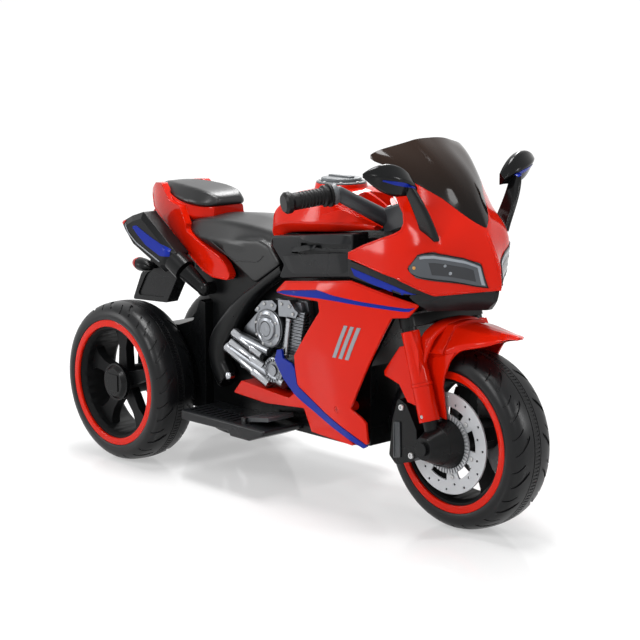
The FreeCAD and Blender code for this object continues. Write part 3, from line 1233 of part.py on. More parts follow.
plate = Part.makeBox(pedal_length, pedal_width, pedal_depth, hinge + vec(-3, 0, -3.5))
plate = plate.makeFillet(2, [edge for edge in plate.Edges if edge.BoundBox.XMin > hinge.x + pedal_length - 4])
for number in range(4):
    plate = plate.cut(Part.makeBox(4, pedal_width - 12, 3, hinge + vec(14 + 11 * number, 6, pedal_depth - 5)))
pin = rod(hinge - vec(0, 5, 0), hinge + vec(0, pedal_width + 5, 0), 2.0)
pedal = plate.fuse(pin).removeSplitter()
pedal.rotate(hinge, vec(0, 1, 0), -9)
keep("accelerator_pedal", one_solid(pedal))

# Charging socket in the left side of the hull, under the seat.
flange = rod(socket_at + vec(0, gap, 0), socket_at + vec(0, 4, 0), 9)
socket = flange.cut(rod(socket_at - vec(0, 5, 0), socket_at + vec(0, 8, 0), 2.9))
keep("charge_socket", socket)

doc.recompute()
os.makedirs("parts", exist_ok=True)
faulty = [item.Label for item in parts if item.Shape.isNull() or not item.Shape.isValid()
          or any(word in item.State for word in ("Invalid", "Error"))]
if faulty:
    raise RuntimeError("not built: " + ", ".join(faulty))
for item in parts:
    item.Shape.exportStep(f"parts/{item.Label}.step")
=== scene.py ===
import json
import logging
import math
from collections.abc import Callable, Iterator, Sequence
from contextlib import contextmanager
from dataclasses import dataclass, field
from enum import Enum

import bpy
from mathutils import Matrix, Vector

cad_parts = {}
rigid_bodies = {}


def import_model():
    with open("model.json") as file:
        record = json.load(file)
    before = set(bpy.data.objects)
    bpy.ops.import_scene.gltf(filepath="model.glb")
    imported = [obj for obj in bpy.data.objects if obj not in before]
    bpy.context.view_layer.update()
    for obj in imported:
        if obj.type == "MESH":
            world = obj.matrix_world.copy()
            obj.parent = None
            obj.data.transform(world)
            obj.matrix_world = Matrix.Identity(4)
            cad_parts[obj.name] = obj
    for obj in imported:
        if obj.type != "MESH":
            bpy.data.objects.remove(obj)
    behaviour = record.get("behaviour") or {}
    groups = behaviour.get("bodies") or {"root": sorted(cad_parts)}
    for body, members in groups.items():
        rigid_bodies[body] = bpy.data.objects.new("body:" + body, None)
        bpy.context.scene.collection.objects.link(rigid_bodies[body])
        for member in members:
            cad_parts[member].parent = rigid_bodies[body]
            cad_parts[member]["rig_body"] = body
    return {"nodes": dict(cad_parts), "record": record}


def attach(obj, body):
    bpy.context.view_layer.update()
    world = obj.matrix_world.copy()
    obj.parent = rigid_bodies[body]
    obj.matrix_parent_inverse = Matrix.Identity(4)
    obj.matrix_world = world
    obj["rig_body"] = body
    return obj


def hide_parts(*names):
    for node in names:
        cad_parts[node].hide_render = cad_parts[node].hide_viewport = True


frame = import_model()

logging.basicConfig(level=logging.INFO, format="%(name)s: %(message)s")
log = logging.getLogger("ride_on_motorbike")

Piece = bpy.types.Object
Tree = bpy.types.NodeTree
Socket = bpy.types.NodeSocket
Pair = tuple[float, float]
Grid = tuple[int, int]
Outline = Sequence[Pair]
Place = tuple[float, float, float]
Colour = tuple[float, float, float, float]

MM = 0.001
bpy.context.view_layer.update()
LEFT, RIGHT, UP = Vector((0, 1, 0)), Vector((0, -1, 0)), Vector((0, 0, 1))
# Y of a plane that is clear of the bike's right side.
CLEAR_MM = -260.0
# How far thin trim stays off the shell that carries it.
LAY_MM = 0.05
# Edges sharper than this many degrees stay crisp: on shells, and on small turned parts.
SHELL_DEG, TURNED_DEG = 32.0, 40.0
# Points closer than this are one point: in the CAD's loose triangles, and in the scene's own meshes.
CAD_MERGE_MM, MERGE_MM = 0.02, 0.001
# Shares of the base colour that are left as painted shade in a deep crevice, and on a face turned away from
# the eye.
PAINTED_CREVICE_SHADE, TURNED_SHADE = 0.06, 0.1
# Lowest and highest roughness where the gloss drifts, as shares of the finish's own.
GLOSS_DRIFT = (0.86, 1.16)
COAT_ROUGHNESS = 0.06
# Brushed metal has its grain drawn out along two axes by this much.
BRUSH_STRETCH = (1.0, 12.0, 1.0)
# The steering axis leans back by the rake and goes through the front axle.
RAKE = math.radians(18.0)
FRONT_AXLE = Vector((355.0, 0.0, 145.0))
WHITE = (1.0, 1.0, 1.0, 1.0)


def linear(colour: str) -> Colour:
    """Turn an sRGB hex value into linear red, green, blue and alpha.

    Args:
        colour: six hex digits, with or without a leading hash.

    Returns:
        The linear colour with alpha 1.
    """
    digits = colour.lstrip("#")
    channels = [int(digits[start:start + 2], 16) / 255 for start in (0, 2, 4)]
    curved = [c / 12.92 if c <= 0.04045 else ((c + 0.055) / 1.055) ** 2.4 for c in channels]
    return (curved[0], curved[1], curved[2], 1.0)


def add_node(tree: Tree, kind: str, settings: dict | None = None,
             links: dict | None = None) -> bpy.types.Node:
    """Add a shader node with its settings and links.

    Args:
        tree: the node tree that gets the node.
        kind: Blender's name of the node type.
        settings: values by property name, or by input name or number.
        links: output sockets by the name or number of the input that they feed.

    Returns:
        The new node.
    """
    node = tree.nodes.new(kind)
    for key, value in (settings or {}).items():
        if isinstance(key, str) and key in node.bl_rna.properties:
            setattr(node, key, value)
        else:
            node.inputs[key].default_value = value
    for key, source in (links or {}).items():
        tree.links.new(source, node.inputs[key])
    return node


class Skin(Enum):
    """How a moulded or finished surface feels."""

    POLISHED = "polished"
    SATIN = "satin"
    GRAINED = "grained"
    BRUSHED = "brushed"


@dataclass(frozen=True)
class Finish:
    """One real material and how its surface was made."""

    name: str
    colour: str
    skin: Skin = Skin.SATIN
    roughness: float = 0.45
    metallic: float = 0.0
    ior: float = 1.49
    specular: float = 0.5
    coat: float = 0.0
    grain_mm: float = 1.2
    grain_depth_mm: float = 0.02
    tone_mm: float = 90.0
    tone: float = 0.06
    edge_mm: float = 0.8
    # crevice and crevice_mm set painted shade in hollows, found by ambient occlusion; rim sets painted shade
    # on faces turned away from the eye.
    crevice: float = 0.0
    crevice_mm: float = 8.0
    rim: float = 0.0
    fade: str = ""
    fade_from: Place = (0.0, 0.0, 0.0)
    fade_to: Place = (0.0, 0.0, 100.0)

    def material(self) -> bpy.types.Material:
        """Build the material once and return it from then on."""
        made = bpy.data.materials.get(self.name)
        return made if made else self._build()

    def _build(self) -> bpy.types.Material:
        """Lay out the node tree: tone and gloss drift, grain and softened edges.

        Returns:
            The new material.
        """
        material = bpy.data.materials.new(self.name)
        material.use_nodes = True
        tree = material.node_tree
        tree.nodes.clear()
        place = add_node(tree, "ShaderNodeTexCoord").outputs["Object"]
        drift = add_node(tree, "ShaderNodeTexNoise", {"Scale": 1000 / self.tone_mm, "Detail": 3.0},
                         {"Vector": place}).outputs["Fac"]
        colour = add_node(tree, "ShaderNodeMix", {
            "data_type": "RGBA", 6: self._tint(1 - self.tone), 7: self._tint(1 + self.tone)},
            {0: drift}).outputs[2]
        for share, target in self._layers(tree, place):
            colour = add_node(tree, "ShaderNodeMix", {"data_type": "RGBA", 7: target},
                              {0: share, 6: colour}).outputs[2]
        low, high = (min(1.0, self.roughness * factor) for factor in GLOSS_DRIFT)
        gloss = add_node(tree, "ShaderNodeMapRange", {
            "From Min": 0.3, "From Max": 0.7, "To Min": low, "To Max": high}, {"Value": drift}).outputs[0]
        rounded = add_node(tree, "ShaderNodeBevel", {"samples": 4, "Radius": self.edge_mm * MM}).outputs[0]
        normal = add_node(tree, "ShaderNodeBump", {"Strength": 1.0, "Distance": self.grain_depth_mm * MM},
                          {"Height": self._grain(tree, place), "Normal": rounded}).outputs[0]
        shader = add_node(tree, "ShaderNodeBsdfPrincipled", {
            "Metallic": self.metallic, "IOR": self.ior, "Specular IOR Level": self.specular,
            "Coat Weight": self.coat, "Coat Roughness": COAT_ROUGHNESS},
            {"Base Color": colour, "Roughness": gloss, "Normal": normal})
        add_node(tree, "ShaderNodeOutputMaterial", links={"Surface": shader.outputs[0]})
        return material

    def _tint(self, factor: float) -> Colour:
        """Base colour times a factor."""
        red, green, blue = (min(1.0, channel * factor) for channel in linear(self.colour)[:3])
        return (red, green, blue, 1.0)

    def _layers(self, tree: Tree, place: Socket) -> list[tuple[Socket, Colour]]:
        """Shares of the surface that take another colour, each with that colour.

        Args:
            tree: the material's node tree.
            place: object coordinates.

        Returns:
            The fade along a line, painted shade in crevices and painted shade on faces turned away, where
            set.
        """
        layers = []
        if self.fade:
            start, stop = Vector(self.fade_from) * MM, Vector(self.fade_to) * MM
            way = (stop - start) / (stop - start).length_squared
            spot = add_node(tree, "ShaderNodeVectorMath", {"operation": "SUBTRACT", 1: tuple(start)},
                            {0: place})
            share = add_node(tree, "ShaderNodeVectorMath", {"operation": "DOT_PRODUCT", 1: tuple(way)},
                             {0: spot.outputs[0]}).outputs["Value"]
            held = add_node(tree, "ShaderNodeClamp", links={"Value": share})
            layers.append((held.outputs[0], linear(self.fade)))
        # Painted shade in crevices, darker where ambient occlusion finds little open sky.
        if self.crevice:
            sky = add_node(tree, "ShaderNodeAmbientOcclusion",
                           {"samples": 8, "Distance": self.crevice_mm * MM})
            share = add_node(tree, "ShaderNodeMapRange", {
                "From Min": 0.35, "From Max": 0.9, "To Min": self.crevice, "To Max": 0.0},
                {"Value": sky.outputs["AO"]})
            layers.append((share.outputs[0], self._tint(PAINTED_CREVICE_SHADE)))
        # Painted shade on faces turned away from the eye, standing in for dark reflections.
        if self.rim:
            away = add_node(tree, "ShaderNodeLayerWeight", {"Blend": 0.5})
            share = add_node(tree, "ShaderNodeMapRange", {
                "From Min": 0.2, "From Max": 0.85, "To Max": self.rim}, {"Value": away.outputs["Facing"]})
            layers.append((share.outputs[0], self._tint(TURNED_SHADE)))
        return layers

    def _grain(self, tree: Tree, place: Socket) -> Socket:
        """Height of the surface's fine grain.

        Args:
            tree: the material's node tree.
            place: object coordinates.

        Returns:
            The height socket for the bump.
        """
        scale = 1000 / self.grain_mm
        if self.skin is Skin.GRAINED:
            return add_node(tree, "ShaderNodeTexVoronoi", {"feature": "SMOOTH_F1", "Scale": scale},
                            {"Vector": place}).outputs["Distance"]
        detail = {Skin.POLISHED: 1.0, Skin.BRUSHED: 2.0}.get(self.skin, 4.0)
        if self.skin is Skin.BRUSHED:
            place = add_node(tree, "ShaderNodeMapping", {"Scale": BRUSH_STRETCH},
                             {"Vector": place}).outputs[0]
        return add_node(tree, "ShaderNodeTexNoise", {"Scale": scale, "Detail": detail},
                        {"Vector": place}).outputs["Fac"]


# Glossy ABS straight from a polished mould: deep colour, sharp sheen, a trace of orange peel.
RED_ABS = Finish("red_gloss_moulded_abs", "#cf1b05", Skin.POLISHED, 0.11, specular=0.15, grain_mm=9.0,
                 grain_depth_mm=0.008, tone=0.05, edge_mm=2.2)
BLUE_ABS = Finish("blue_gloss_moulded_abs", "#0b2590", Skin.POLISHED, 0.16, specular=0.15, grain_mm=7.0,
                  grain_depth_mm=0.01, tone=0.05, edge_mm=0.6)
GLOSS_PP = Finish("black_gloss_moulded_abs", "#0a0b0c", Skin.POLISHED, 0.16, specular=0.2, grain_mm=7.0,
                  grain_depth_mm=0.01, tone=0.08, edge_mm=0.9)
# Polypropylene from a spark-eroded mould: charcoal, graphite, black or grey with a soft, milky sheen.
CHARCOAL_PP = Finish("charcoal_satin_moulded_polypropylene", "#17181a", Skin.SATIN, 0.28, specular=0.2,
                     tone=0.1, edge_mm=0.9)
ARM_PP = Finish("graphite_satin_moulded_polypropylene", "#34373a", Skin.SATIN, 0.36, specular=0.4,
                tone=0.08, edge_mm=0.9)
BLACK_PP = Finish("black_satin_moulded_polypropylene", "#0b0c0d", Skin.SATIN, 0.28, specular=0.17,
                  tone=0.1, edge_mm=0.9)
GREY_PP = Finish("grey_satin_moulded_polypropylene", "#5b5f62", Skin.SATIN, 0.4, tone=0.06, edge_mm=0.9)
# The rims are duller, so that the deep barrels stay dark behind the spokes.
RIM_PP = Finish("black_matt_moulded_polypropylene", "#0b0c0d", Skin.SATIN, 0.52, specular=0.14,
                tone=0.1, edge_mm=0.9)
# The seat's mould has a leather-like pebble, drawn coarser than life so that it shows.
SEAT_PP = Finish("black_pebbled_seat_moulding", "#0e0f10", Skin.GRAINED, 0.36, specular=0.42, grain_mm=2.2,
                 grain_depth_mm=0.05, tone=0.12, edge_mm=2.0)
# Hard tyres: near black, with a fine roughness and a broad dull glint on the shoulder.
TYRE_PP = Finish("black_moulded_tyre_plastic", "#090a0c", Skin.SATIN, 0.34, specular=0.27, grain_mm=1.6,
                 grain_depth_mm=0.03, tone=0.12, edge_mm=0.7)
# Soft grips: the blackest and dullest surface of the bike.
GRIP_RUBBER = Finish("black_moulded_grip_rubber", "#070708", Skin.GRAINED, 0.42, specular=0.24, grain_mm=1.4,
                     grain_depth_mm=0.05, tone=0.1, edge_mm=0.6)
# Silver lacquer with metal flake on ABS: bright but not mirror-like, with painted shade in the hollows of the
# castings and on faces turned away from the eye.
SILVER_ABS = Finish("silver_flake_lacquered_abs", "#92959a", Skin.SATIN, 0.28, metallic=0.85, crevice=0.95,
                    crevice_mm=16.0, rim=0.8, grain_mm=0.9, tone=0.08, edge_mm=0.8)
# Bright silver pipes, with painted shade in their hollows and on faces turned away from the eye.
PIPE_ABS = Finish("bright_silver_lacquered_abs", "#a9abaf", Skin.POLISHED, 0.22, metallic=0.85, crevice=0.7,
                  crevice_mm=9.0, rim=0.9, grain_mm=6.0, grain_depth_mm=0.006, tone=0.05, edge_mm=0.5)
# Chrome plating: sharp bright and dark reflections, with painted shade in its hollows and a painted dark
# reflection on faces turned away from the eye.
CHROME_ABS = Finish("chrome_plated_abs", "#a7aaae", Skin.POLISHED, 0.2, metallic=1.0, ior=1.5, crevice=0.8,
                    crevice_mm=14.0, rim=0.7, grain_mm=9.0, grain_depth_mm=0.005, tone=0.02, edge_mm=0.5)
# Pale grey discs: an even, slightly metallic face with painted shade in its holes.
DISC_PP = Finish("light_grey_moulded_disc", "#b4b6b9", Skin.SATIN, 0.36, metallic=0.35, crevice=0.6,
                 crevice_mm=5.0, tone=0.05, edge_mm=0.5)
# Zinc-plated screws and axles: small cool glints.
STEEL = Finish("zinc_plated_steel", "#b9bbbd", Skin.BRUSHED, 0.3, metallic=1.0, ior=1.5, grain_mm=0.8,
               tone=0.06, edge_mm=0.3)
# Smoked screen: glossy brown that darkens to black towards its foot.
SMOKED_PC = Finish("smoked_brown_polycarbonate", "#281a12", Skin.POLISHED, 0.1, ior=1.58, specular=0.13,
                   grain_mm=30.0, grain_depth_mm=0.004, tone=0.1, edge_mm=0.8, fade="#0b0807",
                   fade_from=(250, 0, 590), fade_to=(345, 0, 470))
# Headlights: a grey glossy cover, a dark sheet of painted shade that stands in for the depth behind it, a
# milky strip of light and an amber spot.
LENS_PC = Finish("grey_tinted_polycarbonate_lens", "#42474d", Skin.POLISHED, 0.1, ior=1.58, specular=0.4,
                 coat=0.1, grain_mm=20.0, grain_depth_mm=0.004, tone=0.15, edge_mm=0.6)
SHADE_PC = Finish("painted_shade_inside_headlight", "#202328", Skin.POLISHED, 0.14, tone=0.05, edge_mm=0.4)
WHITE_PC = Finish("milky_light_strip", "#8e959c", Skin.POLISHED, 0.25, coat=0.2, tone=0.05, edge_mm=0.4)
AMBER_PC = Finish("amber_polycarbonate_reflector", "#c98a2c", Skin.POLISHED, 0.15, coat=0.3, tone=0.05,
                  edge_mm=0.3)
# Deep red lenses at the tail.
RED_LENS = Finish("red_polycarbonate_lens", "#9e0806", Skin.POLISHED, 0.12, ior=1.58, specular=0.2, tone=0.08,
                  edge_mm=0.4)
# Mirror glass: a clean bright reflection.
MIRROR_FILM = Finish("silvered_mirror_film", "#e4e6e8", Skin.POLISHED, 0.05, metallic=1.0, ior=1.5,
                     grain_mm=30.0, grain_depth_mm=0.003, tone=0.02, edge_mm=0.2)
# Screw heads lacquered with the panel that they hold, with painted shade in their hollows.
RED_SCREW = Finish("red_lacquered_steel", "#cf1a08", Skin.SATIN, 0.3, specular=0.3, crevice=0.6,
                   crevice_mm=2.0, tone=0.05, edge_mm=0.3)
# Cream bushes, which show only in a cut model.
ACETAL = Finish("natural_acetal", "#d9d6cc", Skin.SATIN, 0.4, tone=0.04, edge_mm=0.3)


def mm(x: float, y: float, z: float) -> Vector:
    """Place in metres from millimetres."""
    return Vector((x, y, z)) * MM


def lean_way(x: float, y: float, z: float) -> Vector:
    """Direction of the upright steering group, leaned back by the rake."""
    return Vector((x * math.cos(RAKE) - z * math.sin(RAKE), y, x * math.sin(RAKE) + z * math.cos(RAKE)))


def leaned(x: float, y: float, z: float) -> Vector:
    """Point of the steering group, drawn upright from the axle in millimetres, as a place in metres."""
    return (FRONT_AXLE + lean_way(x, y, z)) * MM


def only(piece: Piece) -> None:
    """Make a piece the only selected and active object.

    Args:
        piece: the object.
    """
    bpy.ops.object.select_all(action="DESELECT")
    piece.select_set(True)
    bpy.context.view_layer.objects.active = piece


@contextmanager
def editing(piece: Piece, mode: str = "VERT", select: str = "SELECT") -> Iterator[None]:
    """Hold a piece open in edit mode.

    Args:
        piece: the mesh object.
        mode: VERT or FACE, what is selected.
        select: SELECT for all, DESELECT for none, or an empty string to keep what is selected.

    Yields:
        Nothing, while the piece is open.
    """
    only(piece)
    bpy.ops.object.mode_set(mode="EDIT")
    bpy.ops.mesh.select_mode(type=mode)
    if select:
        bpy.ops.mesh.select_all(action=select)
    yield
    bpy.ops.object.mode_set(mode="OBJECT")


@contextmanager
def picked(piece: Piece, mode: str, test: Callable[[object], bool]) -> Iterator[None]:
    """Hold a piece open in edit mode with some of its points or faces selected.

    Args:
        piece: the mesh object.
        mode: VERT or FACE.
        test: takes a point or face of the mesh, and says whether it is wanted.

    Yields:
        Nothing, while the piece is open.
    """
    with editing(piece, mode, "DESELECT"):
        pass
    for item in piece.data.polygons if mode == "FACE" else piece.data.vertices:
        item.select = test(item)
    with editing(piece, mode, ""):
        yield


def smooth(piece: Piece, angle: float = SHELL_DEG) -> None:
    """Shade a piece smooth across edges flatter than the angle in degrees."""
    only(piece)
    bpy.ops.object.shade_smooth_by_angle(angle=math.radians(angle))


def slot_of(node: str) -> str:
    """Record slot of a CAD node."""
    return next(row["material_slot"] for row in frame["record"]["subparts"] if row["node"] == node)


def dress(piece: Piece, finish: Finish, body: str, slot: str, nodes: Sequence[str] = ()) -> Piece:
    """Give a finished piece its material and body, and hide the CAD nodes that it stands for.

    Args:
        piece: a mesh object at the origin with its place in its mesh.
        finish: the real material.
        body: the CAD body that carries the piece.
        slot: the record's material slot; not used.
        nodes: CAD nodes that the piece replaces.

    Returns:
        The same piece.
    """
    piece.data.materials.clear()
    piece.data.materials.append(finish.material())
    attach(piece, body)
    if nodes:
        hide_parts(*nodes)
    log.info("%s on %s, %d faces", piece.name, body, len(piece.data.polygons))
    return piece


def apply_modifier(piece: Piece, kind: str, settings: dict) -> None:
    """Add a modifier with its settings and apply it at once.

    Args:
        piece: the mesh object.
        kind: Blender's name of the modifier type.
        settings: values by property name.
    """
    only(piece)
    modifier = piece.modifiers.new(kind.lower(), kind)
    for key, value in settings.items():
        setattr(modifier, key, value)
    bpy.ops.object.modifier_apply(modifier=modifier.name)


def fit(piece: Piece, finish: Finish, slot: str, angle: float = SHELL_DEG, body: str = "bike_body",
        pair: bool = True, nodes: Sequence[str] = ()) -> Piece:
    """Give a right-hand piece its mirror image on the left, smooth it and dress it.

    Args:
        piece: the modelled piece.
        finish: the real material.
        slot: the record's material slot.
        angle: edges sharper than this many degrees stay crisp.
        body: the CAD body that carries the piece.
        pair: False for a piece that has no mirror image.
        nodes: CAD nodes that the piece replaces.

    Returns:
        The same piece.
    """
    if pair:
        apply_modifier(piece, "MIRROR", {"use_axis": (False, True, False), "use_mirror_merge": False})
    smooth(piece, angle)
    return dress(piece, finish, body, slot, nodes)


def new_piece(name: str, mesh: bpy.types.Mesh) -> Piece:
    """Put a copy of a mesh into the scene.

    Args:
        name: the piece's name.
        mesh: the mesh to copy.

    Returns:
        The new piece.
    """
    piece = bpy.data.objects.new(name, mesh.copy())
    bpy.context.scene.collection.objects.link(piece)
    return piece


def merged_copy(node: str, name: str) -> Piece:
    """Copy a CAD node's mesh and merge its loose triangles.

    Args:
        node: the CAD node.
        name: the piece's name.

    Returns:
        The copy.
    """
    piece = new_piece(name, frame["nodes"][node].data)
    only(piece)
    bpy.ops.mesh.customdata_custom_splitnormals_clear()
    with editing(piece):
        bpy.ops.mesh.remove_doubles(threshold=CAD_MERGE_MM * MM)
    return piece


def outward(piece: Piece) -> None:
    """Merge doubled points and turn all faces outwards.

    Args:
        piece: the mesh object.
    """
    with editing(piece):
        bpy.ops.mesh.remove_doubles(threshold=MERGE_MM * MM)
        bpy.ops.mesh.normals_make_consistent(inside=False)


def soften(piece: Piece, width_mm: float, segments: int = 3, angle: float = 35.0) -> None:
    """Round the edges of a piece that are sharper than the angle."""
    apply_modifier(piece, "BEVEL", {"width": width_mm * MM, "segments": segments, "limit_method": "ANGLE",
                                    "angle_limit": math.radians(angle)})


def recess(plaque: Piece, facing: Vector, rim_mm: float, depth_mm: float) -> None:
    """Sink the face of a plate inside a rim.

    Args:
        plaque: the plate.
        facing: direction that the face looks in.
        rim_mm: width of the rim.
        depth_mm: how far the face sinks.
    """
    with picked(plaque, "FACE", lambda face: face.normal.dot(facing) > 0.9):
        bpy.ops.mesh.inset(thickness=rim_mm * MM, depth=0.0)
        bpy.ops.mesh.extrude_region_move(TRANSFORM_OT_translate={"value": facing * (-depth_mm * MM)})


def raise_teeth(wheel: Piece, middle: Vector, steps: int, pitch: int, band_mm: Pair,
                height_mm: float) -> None:
    """Pull teeth out of the face of a turned piece that looks to the right.

    Args:
        wheel: the turned piece.
        middle: a point on its axis.
        steps: its faces round the axis.
        pitch: faces from tooth to tooth, of which half are pulled.
        band_mm: inner and outer radius of the faces that can be teeth.
        height_mm: how far they are pulled.
    """
    def tooth(face: bpy.types.MeshPolygon) -> bool:
        """Say whether a face is pulled.

        Args:
            face: a face of the wheel.

        Returns:
            True for a tooth.
        """
        x, z = face.center.x - middle.x, face.center.z - middle.z
        column = math.floor(math.atan2(z, x) / (2 * math.pi) * steps)
        return (face.normal.y < -0.95 and band_mm[0] < math.hypot(x, z) / MM < band_mm[1]
                and column % pitch < pitch // 2)

    with picked(wheel, "FACE", tooth):
        bpy.ops.mesh.extrude_region_move(TRANSFORM_OT_translate={"value": RIGHT * (height_mm * MM)})


def lay_on(piece: Piece, target: Piece, axis: str, forward: bool) -> None:
    """Press a thin piece along an axis on to the piece that carries it.

    Args:
        piece: the thin piece, drawn clear of its carrier.
        target: the carrier.
        axis: letter of the axis of travel.
        forward: True to travel towards the axis's positive end.
    """
    number = "XYZ".index(axis)
    before = piece.data.vertices[0].co[number]
    apply_modifier(piece, "SHRINKWRAP", {
        "target": target, "wrap_method": "PROJECT", "wrap_mode": "ABOVE_SURFACE", "offset": LAY_MM * MM,
        f"use_project_{axis.lower()}": True, "use_positive_direction": forward,
        "use_negative_direction": not forward})
    missed = {vertex.index for vertex in piece.data.vertices if abs(vertex.co[number] - before) < MM}
    if missed:
        log.info("%s: %d points are off the carrier and left out", piece.name, len(missed))
        with picked(piece, "VERT", lambda vertex: vertex.index in missed):
            bpy.ops.mesh.delete(type="VERT")


def right_side(shell: Piece, start: Vector) -> tuple[Vector, Vector] | None:
    """Place and normal where a ray from the right first meets the right half of a shell, or None."""
    hit, place, normal, _ = shell.ray_cast(start, LEFT)
    return (place, normal) if hit and place.y < 0 else None


def drape(piece: Piece, nodes: Sequence[Piece], lift_mm: float, limit_mm: float = 2.0) -> None:
    """Press a whole grid sideways on to its carriers, bridging seams and small overhangs.

    Args:
        piece: the sheet, drawn clear of the bike's right side.
        nodes: the shells that it lies on.
        lift_mm: how far it stays off them.
        limit_mm: a point that falls further than this behind its neighbours fell into a seam.
    """
    carrier = join("drape_form", [new_piece(f"{shell.name}_form", shell.data) for shell in nodes])
    points = piece.data.vertices
    near = [[] for _ in points]
    for edge in piece.data.edges:
        first, second = edge.vertices
        near[first].append(second)
        near[second].append(first)
    found = ((point.index, right_side(carrier, point.co)) for point in points)
    depth = {index: spot[0].y for index, spot in found if spot}
    for _ in range(3):
        for index in list(depth):
            around = [depth[other] for other in near[index] if other in depth]
            if around and depth[index] - min(around) > limit_mm * MM:
                del depth[index]
    while depth and len(depth) < len(points):
        filled = {}
        for point in points:
            around = [depth[other] for other in near[point.index] if other in depth]
            if point.index not in depth and around:
                filled[point.index] = sum(around) / len(around)
        if not filled:
            break
        depth.update(filled)
    for point in points:
        point.co.y = depth.get(point.index, point.co.y) - lift_mm * MM
    piece.data.update()
    bpy.data.objects.remove(carrier)


def thicken(piece: Piece, depth_mm: float, facing: Vector = RIGHT, offset: float = 1.0) -> None:
    """Turn a sheet to face a direction and give it a wall.

    Args:
        piece: the sheet.
        depth_mm: thickness of the wall.
        facing: direction that the sheet has to face.
        offset: 1 for a wall outwards, -1 for a wall inwards.
    """
    mean = sum((face.normal * face.area for face in piece.data.polygons), Vector())
    if mean.dot(facing) < 0:
        with editing(piece):
            bpy.ops.mesh.flip_normals()
    apply_modifier(piece, "SOLIDIFY", {"thickness": depth_mm * MM, "offset": offset})


def sheet_grid(name: str, rows: Sequence[Sequence[Vector]]) -> Piece:
    """Grid primitive, one face thick, whose points are set by equally long rows.

    Args:
        name: the piece's name.
        rows: equally long rows of places.

    Returns:
        The open sheet.
    """
    bpy.ops.object.select_all(action="DESELECT")
    bpy.ops.mesh.primitive_grid_add(x_subdivisions=len(rows[0]) - 1, y_subdivisions=len(rows) - 1, size=0.1)
    piece = bpy.context.object
    piece.name = name
    piece.data.vertices.foreach_set("co", [number for row in rows for point in row for number in point])
    piece.data.update()
    return piece


def loft(name: str, rings: Sequence[Sequence[Vector]], closed: bool = False) -> Piece:
    """Skin through rings of points, capped at both ends or closed on itself.

    Args:
        name: the piece's name.
        rings: equally long closed rings.
        closed: True where the last ring joins the first.

    Returns:
        The closed solid.
    """
    rows = [[*ring, ring[0]] for ring in rings]
    piece = sheet_grid(name, [*rows, rows[0]] if closed else rows)
    outward(piece)
    if not closed:
        with editing(piece):
            bpy.ops.mesh.fill_holes(sides=0)
        outward(piece)
    return piece


def circle(centre: Vector, axis: Vector, radius: float, steps: int, squash: float = 1.0) -> list[Vector]:
    """Ring of points round an axis.

    Args:
        centre: middle of the ring.
        axis: direction that the ring faces.
        radius: radius square to the Y axis.
        steps: number of points.
        squash: ratio of the radius towards Y to it.

    Returns:
        The points.
    """
    axis = axis.normalized()
    side = LEFT - axis * LEFT.dot(axis)
    if side.length < 1e-6:
        side = axis.orthogonal()
    side.normalize()
    other = axis.cross(side)
    return [centre + side * (radius * squash * math.cos(2 * math.pi * step / steps))
            + other * (radius * math.sin(2 * math.pi * step / steps)) for step in range(steps)]


def turned(name: str, profile: Outline, origin: Vector, axis: Vector, steps: int,
           closed: bool = False) -> Piece:
    """Solid of revolution.

    Args:
        name: the piece's name.
        profile: radius and place along the axis, in millimetres.
        origin: where the axis starts, in metres.
        axis: its direction.
        steps: points round the axis.
        closed: True for a ring whose profile joins up.

    Returns:
        The solid.
    """
    way = axis.normalized()
    return loft(name, [circle(origin + way * (height * MM), way, max(radius, 0.02) * MM, steps)
                       for radius, height in profile], closed)


def smooth_path(points: Sequence[Vector], steps: int = 6) -> list[Vector]:
    """Points along a smooth line through the given ones.

    Args:
        points: places that the line goes through.
        steps: new points from one of them to the next.

    Returns:
        The line's points.
    """
    ends = [points[0] * 2 - points[1], *points, points[-1] * 2 - points[-2]]
    line = []
    for index in range(1, len(ends) - 2):
        a, b, c, d = ends[index - 1:index + 3]
        for step in range(steps):
            t = step / steps
            line.append(0.5 * (2 * b + (c - a) * t + (2 * a - 5 * b + 4 * c - d) * t ** 2
                               + (3 * b - a - 3 * c + d) * t ** 3))
    return line + [points[-1]]


def sweep(name: str, points: Sequence[Vector], sizes_mm: Sequence[float],
          section: Callable[[Vector, Vector, float], list[Vector]]) -> Piece:
    """Capped bar along a smooth line.

    Args:
        name: the piece's name.
        points: places that the line goes through.
        sizes_mm: the section's size at each of them.
        section: takes a place, the line's direction there and the size in metres, and gives the ring.

    Returns:
        The bar.
    """
    line = smooth_path(points)
    sizes = smooth_path([Vector((size, 0, 0)) for size in sizes_mm])
    rings = []
    for index, point in enumerate(line):
        way = line[min(index + 1, len(line) - 1)] - line[max(index - 1, 0)]
        rings.append(section(point, way.normalized(), sizes[index].x * MM))
    return loft(name, rings)


def bead(name: str, points: Sequence[Vector], end_mm: float, radius_mm: float, steps: int,
         squash: float = 1.0) -> Piece:
    """Round or flattened bead along a smooth line, with its own radius at both ends."""
    radii = [end_mm, *[radius_mm] * (len(points) - 2), end_mm]
    return sweep(name, points, radii, lambda place, way, radius: circle(place, way, radius, steps, squash))


def plate(name: str, corners: Sequence[Vector], depth: Vector, round_mm: float) -> Piece:
    """Flat plate of an outline, with rounded corners.

    Args:
        name: the piece's name.
        corners: the outline's corners in one plane.
        depth: how far and which way it is pulled.
        round_mm: corner radius.

    Returns:
        The solid plate.
    """
    bpy.ops.object.select_all(action="DESELECT")
    bpy.ops.mesh.primitive_circle_add(vertices=len(corners), radius=0.05, fill_type="NGON")
    piece = bpy.context.object
    piece.name = name
    for vertex, corner in zip(piece.data.vertices, corners):
        vertex.co = corner
    with editing(piece):
        bpy.ops.mesh.bevel(offset=round_mm * MM, segments=4, affect="VERTICES")
        bpy.ops.mesh.select_all(action="SELECT")
        bpy.ops.mesh.extrude_region_move(TRANSFORM_OT_translate={"value": depth})
    outward(piece)
    return piece


